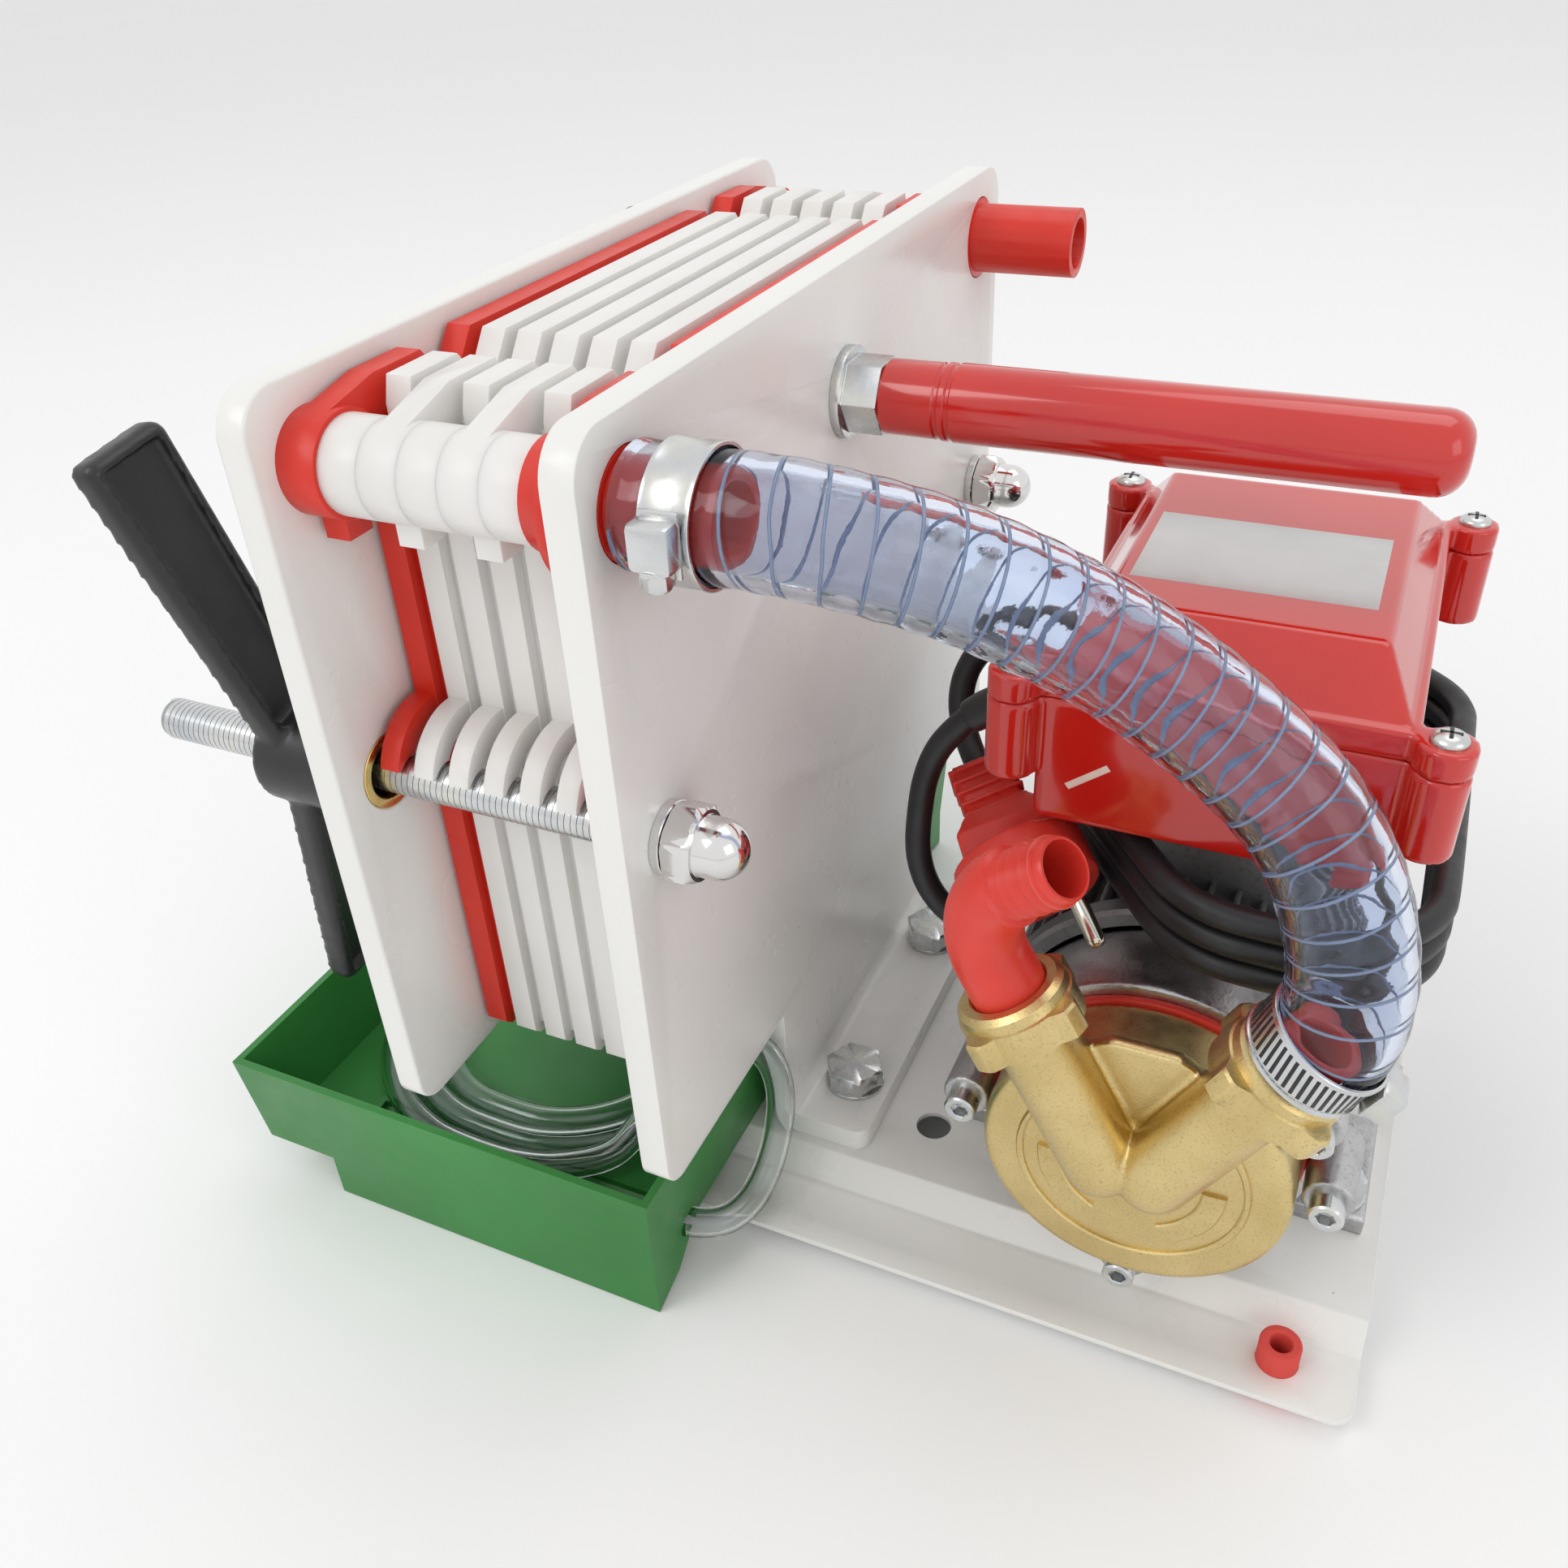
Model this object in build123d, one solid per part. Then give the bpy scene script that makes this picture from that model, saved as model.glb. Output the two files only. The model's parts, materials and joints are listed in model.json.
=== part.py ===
from build123d import *
import math
import os

# Bench-top plate filter press with a self-priming pump. X runs along the plate stack, + towards
# the pump; -Y is the front and +Z is up. The origin is at table level, in the middle of the four
# feet. Millimetres.

# Folded base sheet
BASE_LENGTH = 316.0
BASE_WIDTH = 180.0
BASE_SHEET = 2.0
PLATEAU_WIDTH = 124.0
PLATEAU_TOP = 16.0
FLANGE_TOP = 7.5
WEB_RUN = 6.0
BASE_CORNER_RADIUS = 6.0
BASE_EDGE_RADIUS = 1.2
CABLE_HOLE_RADIUS = 5.5
CABLE_HOLE_X = 24.0
CABLE_HOLE_Y = -40.0

# Rubber feet, pushed through the flanges
FOOT_SPACING_X = 274.0
FOOT_SPACING_Y = 154.0
FOOT_RADIUS = 5.7
FOOT_COLLAR_RADIUS = 9.0
FOOT_BORE_RADIUS = 3.0
FOOT_STANDS_PROUD = 8.0

# End plates
PLATE_WIDTH = 262.0
PLATE_TOP = 272.0
PLATE_BOTTOM = 66.0
PLATE_THICK = 8.0
PLATE_TOP_RADIUS = 11.0
PLATE_BOTTOM_RADIUS = 8.0
FIXED_FACE_X = -18.0
ROD_MARGIN = 18.5
CHANNEL_MARGIN = 18.5

# Tongue and foot of the fixed end plate
TONGUE_WIDTH = 118.0
TONGUE_BEND_RADIUS = 4.0
TONGUE_FOOT_LENGTH = 26.0
TONGUE_FOOT_CORNER = 5.0
FOOT_BOLT_SPACING = 76.0
FOOT_BOLT_X = 14.0
FOOT_BOLT_RADIUS = 4.9
FOOT_WASHER_RADIUS = 9.6
FOOT_BOLT_HEAD = 6.4
FOOT_BOLT_CLEARANCE = 0.1

# Tie rods, M12
ROD_RADIUS = 6.0
ROD_Z = 170.5
ROD_LEFT_END = -171.0
ROD_NUT_REACH = 14.0
ROD_HOLE_CLEARANCE = 0.25

# Hexagon sizes across the flats
M12_FLATS = 18.0
M10_FLATS = 17.0
M8_FLATS = 13.0
WASHER_THICK = 2.0

# Domed nuts and their spring washers
SPRING_WASHER_THICK = 2.5
SPRING_WASHER_RADIUS = 9.2
CAP_NUT_HEX = 7.5
CAP_NUT_BARREL = 3.5
CAP_NUT_DOME_RADIUS = 7.4
CAP_NUT_TURN = 30.0

# Filter plates
FILTER_COUNT = 7
FILTER_PITCH = 10.2
FILTER_MARGIN = 31.0
FILTER_BOTTOM = 72.5
FILTER_TOP_LOW = 262.0
FILTER_TOP_HIGH = 268.0
FILTER_TOP_SLOPE = 5.0
FILTER_MIDDLE_INSET = 38.5
FILTER_CORNER_START_INSET = 19.0
FILTER_CORNER_END_INSET = 2.0
FILTER_RIM = 12.0
FILTER_PANEL_THICK = 4.0
FILTER_FLANGE_THICK = 6.6
FILTER_FLANGE_DEPTH = 3.5
FILTER_BOTTOM_CHAMFER = 2.5
CHANNEL_Z = 252.5
CHANNEL_RADIUS = 11.2
CHANNEL_BORE = 8.0
END_COLLAR_RADIUS = 12.2
COLLAR_END_WALL = 3.0
LUG_WIDTH = 8.0
LUG_DROP = 4.5
ARM_ROOT_Z = 236.0
NECK_HEIGHT = 12.0
NECK_OVERLAP = 2.0
HOOK_RADIUS = 17.0
HOOK_WALL = 6.0
HOOK_WIDTH = 5.6
HOOK_CENTRE_INSET = 10.5
HOOK_ROOT_DEPTH = 4.0
HOOK_TIP_RISE = 4.5
HOOK_ROD_CLEARANCE = 0.3
LUG_OVERLAP = 1.0

# Hose tails moulded on the fixed red plate
TAIL_RADIUS = 10.2
TAIL_BORE = 7.5
TAIL_COLLAR_RADIUS = 11.8
TAIL_FLANGE_RADIUS = 17.5
TAIL_FLANGE_THICK = 3.0
INLET_TAIL_LENGTH = 32.0
OUTLET_TAIL_LENGTH = 39.7
PLATE_PORT_CLEARANCE = 0.3

# Guide bushings in the moving plate
BUSHING_RADIUS = 10.0
BUSHING_BORE = 7.5

# Wing nuts
WING_HUB_RADIUS = 14.0
WING_HUB_LENGTH = 25.0
WING_REACH = 90.0
WING_TIP_WIDTH = 24.0
WING_ROOT_WIDTH = 19.0
WING_TIP_RADIUS = 3.0
WING_TIP_ROUNDING = 3.5
WING_THICK = 8.0
WING_ROOT_OFFSET = 12.5
WING_TILT = 12.0
WING_TURN = 9.5
WING_POCKET_DEPTH = 3.0
WING_RIM = 3.0
WING_NUT_BORE_CLEARANCE = 0.06

# Carry handle
HANDLE_Z = 239.0
HANDLE_RADIUS = 10.0
HANDLE_END_X = 134.0
HANDLE_START_X = -6.0
HANDLE_END_ROUNDING = 7.0
HANDLE_WASHER_RADIUS = 12.0

# Pump and motor
MOTOR_X = 92.0
MOTOR_Z = 72.0
MOTOR_RADIUS = 50.0
MOTOR_FRONT_Y = -38.0
MOTOR_REAR_Y = 78.0
FAN_COVER_REAR_Y = 100.0
FAN_COVER_RADIUS = 44.0
FAN_COVER_ROUNDING = 6.0
CASING_FRONT_Y = -62.0
CASING_RADIUS = 44.0
GASKET_THICK = 2.5
GASKET_OVERHANG = 1.0
EAR_RADIUS = 6.5
EAR_LENGTH = 10.0
EAR_STANDS_PROUD = 12.5
PUMP_SCREW_ANGLES = (-90, 0, 30, 150, 180)
PUMP_SCREW_CIRCLE = 47.5
PUMP_SCREW_RADIUS = 4.4
PUMP_SCREW_HEAD = 6.0
HEAD_RADIUS = 40.0
HEAD_FRONT_Y = -84.0
HEAD_EDGE_RADIUS = 3.0
WEB_TOP_Z = 119.0
WEB_TOP_HALF = 8.0
WEB_SHOULDER_Z = 111.5
WEB_FRONT_Y = -88.0
MOTOR_FOOT_SPAN = 122.0
MOTOR_FOOT_DEPTH = 42.0
MOTOR_FOOT_THICK = 6.0
MOTOR_FOOT_WIDTH = 28.0
MOTOR_FOOT_FRONT_Y = -33.0
FOOT_WEB_INNER = 20.0
FOOT_WEB_OUTER = 42.0
FOOT_WEB_INSET = 6.0
FOOT_WEB_HEIGHT = 36.0
FOOT_STUD_INSET = 9.0
FOOT_STUD_SET_BACK = 8.0
FOOT_STUD_RADIUS = 4.0
FOOT_STUD_HEIGHT = 10.0
FOOT_NUT_WASHER_RADIUS = 8.0
FOOT_NUT_WASHER = 1.6
FOOT_NUT_HEIGHT = 6.5

# Pump ports, in the plane of the head
PORT_Y = -92.0
PORT_ANGLE = 28.6
PORT_RADIUS = 10.2
PORT_BORE = 6.5
PORT_KNUCKLE = 14.0
PORT_LENGTH = 61.0
PORT_BORE_START = 18.0
UNION_RADIUS = 14.7
UNION_START = 57.0
UNION_LENGTH = 12.0
UNION_CLEARANCE = 0.3
UNION_LUG_WIDTH = 6.0
UNION_LUG_REACH = 3.2
UNION_LUG_LENGTH = 8.0
UNION_LUG_TURN_LEFT = 70.0
UNION_LUG_TURN_RIGHT = 45.0

# Suction elbow
ELBOW_RADIUS = 9.4
ELBOW_BORE = 6.5
ELBOW_BEND = 22.0
ELBOW_RISE = 33.0
ELBOW_TAIL = 34.0
ELBOW_DIRECTION = (0.733, -0.215, 0.648)
ELBOW_BARB_RADIUS = 8.4
ELBOW_BARB_LENGTH = 16.0

# Hose tail in the right union ring
DELIVERY_TAIL_LENGTH = 18.0

# Terminal box
BOX_X = 93.0
BOX_Y = 11.5
BOX_LENGTH_X = 85.0
BOX_LENGTH_Y = 121.0
BOX_BOTTOM = 152.0
BOX_SEAM = 187.0
BOX_LID_RIM = 194.0
BOX_LID_TOP = 206.0
BOX_LID_SLOPE = 16.0
BOX_BOSS_RADIUS = 6.5
BOX_BOSS_OUTSET_X = 5.5
BOX_BOSS_OUTSET_Y = 0.0
BOX_BOSS_LENGTH = 22.0
BOX_CORNER_RADIUS = 4.0
BOX_LID_STEP = 2.0
LID_SCREW_RADIUS = 4.2
LID_SCREW_HEAD = 2.4
SADDLE_LENGTH_X = 66.0
SADDLE_LENGTH_Y = 96.0
SADDLE_Z = 149.5
NECK_LENGTH_X = 52.0
NECK_LENGTH_Y = 64.0

# Inlet hose and clamps
HOSE_RADIUS = 13.4
HOSE_BORE = 10.5
HOSE_SET_BACK = 2.5
HOSE_END_GAP = 1.0
HOSE_END_RUN = 15.0
HOSE_FROM_PLATE = ((35.5, 0, 0), (65.5, 12.5, -10.5), (97, 25.5, -31), (126.4, 29, -54))
HOSE_FROM_PUMP = ((-8, 4, 38), (-0.5, 2.5, 16.5))
CLAMP_WIDTH = 11.0
CLAMP_SET_BACK = 9.8
CLAMP_END_GAP = 1.2
CLAMP_BAND = 0.8
CLAMP_CLEARANCE = 0.45
CLAMP_HOUSING_DEPTH = 7.2
CLAMP_HOUSING_WIDTH = 14.0
CLAMP_HOUSING_OVERLAP = 0.2

# Drip tray
TRAY_RIM_Z = 51.0
TRAY_LEFT = -178.0
TRAY_RIGHT = -29.0
TRAY_HALF_WIDTH = 128.0
TRAY_WALL = 2.4
TRAY_SHALLOW_Z = PLATEAU_TOP
TRAY_DRAFT = 5.0
TRAY_DEEP_Z = 4.0
TRAY_DEEP_LEFT = -150.0
TRAY_DEEP_INNER_Y = 98.0
TRAY_DEEP_FLOOR_Y = 112.0
TRAY_OVERLAP = 1.0

# Mains cord, wound round the motor's neck
CORD_RADIUS = 3.6
CORD_RING_Z = 120.2
CORD_TURNS = 4
CORD_RING_BEND = 29.0
CORD_RING_CORNERS = ((150, -62), (94, -62), (55, -14), (46, 62), (62, 86), (130, 86), (150, 66))
GLAND_Y = -32.0
GLAND_Z = 174.0
GLAND_FLATS = 15.0
GLAND_NUT_THICK = 4.0
GLAND_BEND = 24.0
GLAND_TURN = 45.0
GLAND_STEPS = 4
GLAND_RADIUS = 6.2
GLAND_TIP_RADIUS = 4.6
CORD_FROM_BOX = (
    (29.2, -32, 166.7), (22.6, -33, 160), (17.9, -35, 148.7), (16.9, -37.3, 135.9), (16.9, -38.9, 123),
    (20.8, -39, 110.6), (29.4, -37.4, 101), (40.5, -31.1, 98), (46.2, -20.3, 106.5), (50, -10, 113),
    (54, -4.5, 118.6),
)
CORD_TO_PLUG = (
    (47, 44, 150.6), (45.8, 38, 159), (44.4, 25, 169), (42.6, 8, 180), (36.5, -5, 184), (26.2, -9, 177.5),
    (18.8, -8, 164.5), (20.4, -13.8, 151.6), (29, -23.4, 145.8),
)

# Mains plug on the end of the cord
PLUG_FACE = (54.6, -52.0, 128.4)
PLUG_DIRECTION = (0.61, -0.68, -0.41)
PLUG_FACE_RADIUS = 18.0
PLUG_FACE_THICK = 13.0
PLUG_GRIP_WIDTH = 27.0
PLUG_GRIP_DEPTH = 21.0
PLUG_GRIP_END = 20.0
PLUG_NECK = 28.0
PLUG_RELIEF_WIDTH = 15.0
PLUG_RELIEF_DEPTH = 12.0
PLUG_LENGTH = 41.5
PLUG_TWIST = 19.0
PIN_RADIUS = 2.4
PIN_LENGTH = 19.0
PIN_SPACING = 19.0

# Share of a straight run that an arc may take
ARC_SHARE = 0.45

# Drain tube
DRAIN_RADIUS = 4.5
DRAIN_TURNS = 3
DRAIN_LIFT = 0.3
DRAIN_COIL_CENTRE = (-104.5, -20.0)
DRAIN_COIL_HALF_X = 54.0
DRAIN_COIL_HALF_Y = 82.0
DRAIN_COIL_BEND = 50.0
DRAIN_POINTS = (
    (-31.6, -104, 16.5), (-24, -102, 16), (-18, -93, 15.5), (-16, -81, 19.5), (-15.5, -71, 31),
    (-17, -65.5, 45), (-23, -64.5, 56.5), (-34, -67, 58), (-46, -74, 49.5), (-53.5, -82, 37),
    (-58.5, -88.5, 28.6),
)

ROD_Y = PLATE_WIDTH / 2 - ROD_MARGIN
CHANNEL_Y = PLATE_WIDTH / 2 - CHANNEL_MARGIN
FILTER_HALF = PLATE_WIDTH / 2 - FILTER_MARGIN
FILTER_CORNER_START = FILTER_HALF - FILTER_CORNER_START_INSET
FILTER_CORNER_END = FILTER_HALF - FILTER_CORNER_END_INSET
FILTER_MIDDLE_HALF = FILTER_HALF - FILTER_MIDDLE_INSET
PLATE_BACK_X = FIXED_FACE_X - PLATE_THICK
MOVING_FACE_X = FIXED_FACE_X - PLATE_THICK - FILTER_COUNT * FILTER_PITCH
ROD_YS = (-ROD_Y, ROD_Y)
FOOT_TOP = PLATEAU_TOP + PLATE_THICK


def cylinder_x(x0, x1, y, z, radius):
    """Cylinder along X between two stations."""
    plane = Plane(origin=(x0, y, z), x_dir=(0, 1, 0), z_dir=(1, 0, 0))
    return extrude(plane * Circle(radius), amount=x1 - x0)


def cylinder_y(y0, y1, x, z, radius):
    """Cylinder along Y between two stations."""
    plane = Plane(origin=(x, y0, z), x_dir=(1, 0, 0), z_dir=(0, 1, 0))
    return extrude(plane * Circle(radius), amount=y1 - y0)


def cylinder_z(z0, z1, x, y, radius):
    """Cylinder along Z between two stations."""
    return extrude(Plane.XY.offset(z0) * Pos(x, y) * Circle(radius), amount=z1 - z0)


def box_between(x0, x1, y0, y1, z0, z1):
    """Box given by its low and high faces."""
    centre = Pos((x0 + x1) / 2, (y0 + y1) / 2, (z0 + z1) / 2)
    return centre * Box(x1 - x0, y1 - y0, z1 - z0)


def hexagon(flats, turn=0):
    """Hexagon across its flats."""
    return RegularPolygon(flats / math.sqrt(3), 6, rotation=turn)


def base_plate():
    """Folded sheet: plateau, sloping webs and flanges."""
    half_plateau = PLATEAU_WIDTH / 2
    half_base = BASE_WIDTH / 2
    web_foot = half_plateau + WEB_RUN
    top = [
        (-half_base, FLANGE_TOP),
        (-web_foot, FLANGE_TOP),
        (-half_plateau, PLATEAU_TOP),
        (half_plateau, PLATEAU_TOP),
        (web_foot, FLANGE_TOP),
        (half_base, FLANGE_TOP),
    ]
    bottom = [(y, z - BASE_SHEET) for y, z in top]
    profile = Polyline(*top, *reversed(bottom), close=True)
    plane = Plane(origin=(-BASE_LENGTH / 2, 0, 0), x_dir=(0, 1, 0), z_dir=(1, 0, 0))
    sheet = extrude(plane * make_face(profile), amount=BASE_LENGTH)
    folds = [e for e in sheet.edges().filter_by(Axis.X) if abs(abs(e.center().Y) - half_base) > 1]
    sheet = fillet(folds, radius=BASE_EDGE_RADIUS)
    corners = [e for e in sheet.edges().filter_by(Axis.Z) if abs(abs(e.center().Y) - half_base) < 1]
    sheet = fillet(corners, radius=BASE_CORNER_RADIUS)
    for x in (-FOOT_SPACING_X / 2, FOOT_SPACING_X / 2):
        for y in (-FOOT_SPACING_Y / 2, FOOT_SPACING_Y / 2):
            sheet -= cylinder_z(0, PLATEAU_TOP, x, y, FOOT_RADIUS)
    sheet -= cylinder_z(0, PLATEAU_TOP + 1, CABLE_HOLE_X, CABLE_HOLE_Y, CABLE_HOLE_RADIUS)
    return sheet


def rubber_foot(x, y):
    """Foot with a wide collar under the flange and a bored plug above it."""
    under = FLANGE_TOP - BASE_SHEET
    foot = cylinder_z(0, under, x, y, FOOT_COLLAR_RADIUS)
    foot += cylinder_z(under, FLANGE_TOP + FOOT_STANDS_PROUD, x, y, FOOT_RADIUS)
    return foot - cylinder_z(0, FLANGE_TOP + FOOT_STANDS_PROUD, x, y, FOOT_BORE_RADIUS)


def end_plate_blank(face_x):
    """Plate with rounded corners whose +X face lies at face_x."""
    plane = Plane(origin=(face_x - PLATE_THICK, 0, 0), x_dir=(0, 1, 0), z_dir=(1, 0, 0))
    height = PLATE_TOP - PLATE_BOTTOM
    outline = Pos(0, PLATE_BOTTOM + height / 2) * Rectangle(PLATE_WIDTH, height)
    upper = outline.vertices().group_by(Axis.Y)[-1]
    outline = fillet(upper, PLATE_TOP_RADIUS)
    lower = outline.vertices().group_by(Axis.Y)[0]
    outline = fillet(lower, PLATE_BOTTOM_RADIUS)
    return extrude(plane * outline, amount=PLATE_THICK)


def fixed_end_plate():
    """Fixed end plate with its tongue bent into a foot on the base."""
    plate = end_plate_blank(FIXED_FACE_X)
    back_x = PLATE_BACK_X
    half = TONGUE_WIDTH / 2
    inner = TONGUE_BEND_RADIUS
    outer = inner + PLATE_THICK
    foot_end = FIXED_FACE_X + TONGUE_FOOT_LENGTH
    with BuildPart() as tongue:
        with BuildSketch(Plane.XZ.offset(half)):
            with BuildLine():
                start = (back_x, PLATE_BOTTOM + PLATE_BOTTOM_RADIUS)
                Polyline(start, (back_x, PLATEAU_TOP + outer))
                RadiusArc((back_x, PLATEAU_TOP + outer), (back_x + outer, PLATEAU_TOP), -outer)
                Polyline((back_x + outer, PLATEAU_TOP), (foot_end, PLATEAU_TOP), (foot_end, FOOT_TOP),
                         (FIXED_FACE_X + inner, FOOT_TOP))
                RadiusArc((FIXED_FACE_X + inner, FOOT_TOP), (FIXED_FACE_X, FOOT_TOP + inner), inner)
                Polyline((FIXED_FACE_X, FOOT_TOP + inner), (FIXED_FACE_X, start[1]), start)
            make_face()
        extrude(amount=-TONGUE_WIDTH)
    tongue = tongue.part
    corners = [e for e in tongue.edges().filter_by(Axis.Z) if abs(e.center().X - foot_end) < 0.1]
    tongue = fillet(corners, radius=TONGUE_FOOT_CORNER)
    plate += tongue
    for y in ROD_YS:
        plate -= cylinder_x(back_x, FIXED_FACE_X, y, ROD_Z, ROD_RADIUS + ROD_HOLE_CLEARANCE)
    for y in (-CHANNEL_Y, CHANNEL_Y):
        plate -= cylinder_x(back_x, FIXED_FACE_X, y, CHANNEL_Z, TAIL_COLLAR_RADIUS + PLATE_PORT_CLEARANCE)
    plate -= cylinder_x(back_x, FIXED_FACE_X, 0, HANDLE_Z, ROD_RADIUS)
    for y in (-FOOT_BOLT_SPACING / 2, FOOT_BOLT_SPACING / 2):
        hole_radius = FOOT_BOLT_RADIUS + FOOT_BOLT_CLEARANCE
        plate -= cylinder_z(0, FOOT_TOP, FIXED_FACE_X + FOOT_BOLT_X, y, hole_radius)
    return plate


def foot_bolt(y):
    """M10 bolt and washer that hold the foot to the base."""
    x = FIXED_FACE_X + FOOT_BOLT_X
    bolt = cylinder_z(FOOT_TOP, FOOT_TOP + WASHER_THICK, x, y, FOOT_WASHER_RADIUS)
    top = FOOT_TOP + WASHER_THICK
    bolt += extrude(Plane.XY.offset(top) * Pos(x, y) * hexagon(M10_FLATS), amount=FOOT_BOLT_HEAD)
    return bolt + cylinder_z(PLATEAU_TOP, top, x, y, FOOT_BOLT_RADIUS)


def tie_rod(y):
    """Tie rod from its free end to the cap nut."""
    return cylinder_x(ROD_LEFT_END, FIXED_FACE_X + ROD_NUT_REACH, y, ROD_Z, ROD_RADIUS)


def cap_nut(y):
    """Spring washer and domed nut on the fixed plate."""
    hex_x = FIXED_FACE_X + SPRING_WASHER_THICK
    barrel_x = hex_x + CAP_NUT_HEX
    dome_x = barrel_x + CAP_NUT_BARREL
    washer = cylinder_x(FIXED_FACE_X, hex_x, y, ROD_Z, SPRING_WASHER_RADIUS)
    plane = Plane(origin=(hex_x, y, ROD_Z), x_dir=(0, 1, 0), z_dir=(1, 0, 0))
    nut = extrude(plane * hexagon(M12_FLATS, CAP_NUT_TURN), amount=CAP_NUT_HEX)
    barrel = cylinder_x(barrel_x, dome_x, y, ROD_Z, CAP_NUT_DOME_RADIUS)
    dome = Pos(dome_x, y, ROD_Z) * Sphere(CAP_NUT_DOME_RADIUS)
    cap = washer + nut + barrel + dome
    return cap - cylinder_x(FIXED_FACE_X, FIXED_FACE_X + ROD_NUT_REACH, y, ROD_Z, ROD_RADIUS)


def filter_outline():
    """Flange of a filter plate, in (Y, Z): three raised stretches along the top edge."""
    half = FILTER_HALF
    chamfer = FILTER_BOTTOM_CHAMFER
    slope = FILTER_TOP_SLOPE
    right = [
        (half - chamfer, FILTER_BOTTOM),
        (half, FILTER_BOTTOM + chamfer),
        (half, FILTER_TOP_LOW),
        (FILTER_CORNER_END, FILTER_TOP_HIGH),
        (FILTER_CORNER_START, FILTER_TOP_HIGH),
        (FILTER_CORNER_START - slope, FILTER_TOP_LOW),
        (FILTER_MIDDLE_HALF + slope, FILTER_TOP_LOW),
        (FILTER_MIDDLE_HALF, FILTER_TOP_HIGH),
    ]
    left = [(-y, z) for y, z in reversed(right)]
    return make_face(Polyline(*right, *left, close=True))


def tangent_point(centre, radius, point, side):
    """Point where a line from a point touches a circle; side picks which of the two."""
    away = Vector(point[0] - centre[0], point[1] - centre[1])
    lean = math.degrees(math.acos(radius / away.length))
    touch = away.normalized().rotate(Axis.Z, side * lean) * radius
    return (centre[0] + touch.X, centre[1] + touch.Y)


def channel_arm(side, radius):
    """Sloping arm from the plate's top corner down to a collar, in (Y, Z)."""
    centre = (side * CHANNEL_Y, CHANNEL_Z)
    shoulder = (side * FILTER_CORNER_END, FILTER_TOP_HIGH)
    root = (side * FILTER_HALF, ARM_ROOT_Z)
    upper = tangent_point(centre, radius, shoulder, -side)
    lower = tangent_point(centre, radius, root, side)
    inner = (side * FILTER_CORNER_START, CHANNEL_Z)
    return make_face(Polyline(shoulder, upper, centre, lower, root, inner, close=True))


def filter_hook(side):
    """Curved claw that rests on a tie rod, in (Y, Z)."""
    centre = Pos(side * (ROD_Y - HOOK_CENTRE_INSET), ROD_Z)
    claw = centre * Circle(HOOK_RADIUS) - centre * Circle(HOOK_RADIUS - HOOK_WALL)
    room = 2 * HOOK_RADIUS
    claw -= Pos(side * (FILTER_HALF - HOOK_ROOT_DEPTH - room), ROD_Z) * Rectangle(2 * room, 2 * room)
    claw -= Pos(side * ROD_Y, ROD_Z + HOOK_TIP_RISE - room) * Rectangle(3 * room, 2 * room)
    return claw - Pos(side * ROD_Y, ROD_Z) * Circle(ROD_RADIUS + HOOK_ROD_CLEARANCE)


def filter_plate(index, closed_end=False):
    """One filter plate; index 0 is the red plate at the fixed end."""
    x0 = FIXED_FACE_X - PLATE_THICK - (index + 1) * FILTER_PITCH
    x1 = x0 + FILTER_PITCH
    plane = Plane(origin=(x0, 0, 0), x_dir=(0, 1, 0), z_dir=(1, 0, 0))
    flange_plane = plane.offset((FILTER_PITCH - FILTER_FLANGE_THICK) / 2)
    hook_plane = plane.offset((FILTER_PITCH - HOOK_WIDTH) / 2)
    has_arms = index % 2 == 0
    half = FILTER_HALF
    radius = END_COLLAR_RADIUS if index in (0, FILTER_COUNT - 1) else CHANNEL_RADIUS
    outline = filter_outline()
    for side in (-1, 1):
        if has_arms:
            outline += channel_arm(side, radius)
        else:
            neck_length = CHANNEL_Y - half + 2 * NECK_OVERLAP
            outline += Pos(side * (half + CHANNEL_Y) / 2, CHANNEL_Z) * Rectangle(neck_length, NECK_HEIGHT)
    plate = extrude(flange_plane * outline, amount=FILTER_FLANGE_THICK)
    seat_half = half - FILTER_FLANGE_DEPTH
    plate += box_between(x0, x1, -seat_half, seat_half, FILTER_BOTTOM + FILTER_FLANGE_DEPTH,
                         FILTER_TOP_LOW - FILTER_FLANGE_DEPTH)
    inner_half = half - FILTER_RIM
    recess = (FILTER_PITCH - FILTER_PANEL_THICK) / 2
    for x in (x0, x1 - recess):
        plate -= box_between(x, x + recess, -inner_half, inner_half, FILTER_BOTTOM + FILTER_RIM,
                             FILTER_TOP_LOW - FILTER_RIM)
    for side in (-1, 1):
        collar_y = side * CHANNEL_Y
        plate += extrude(hook_plane * filter_hook(side), amount=HOOK_WIDTH)
        plate += cylinder_x(x0, x1, collar_y, CHANNEL_Z, radius)
        if has_arms:
            lug = Pos(collar_y, CHANNEL_Z - radius - LUG_DROP / 2 + LUG_OVERLAP)
            lug *= Rectangle(LUG_WIDTH, LUG_DROP + 2 * LUG_OVERLAP)
            plate += extrude(flange_plane * lug, amount=FILTER_FLANGE_THICK)
        bore_start = x0 + COLLAR_END_WALL if closed_end else x0
        plate -= cylinder_x(bore_start, x1, collar_y, CHANNEL_Z, CHANNEL_BORE)
    if index == 0:
        plate += hose_tail(-1, INLET_TAIL_LENGTH)
        plate += hose_tail(1, OUTLET_TAIL_LENGTH)
    return plate


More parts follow.
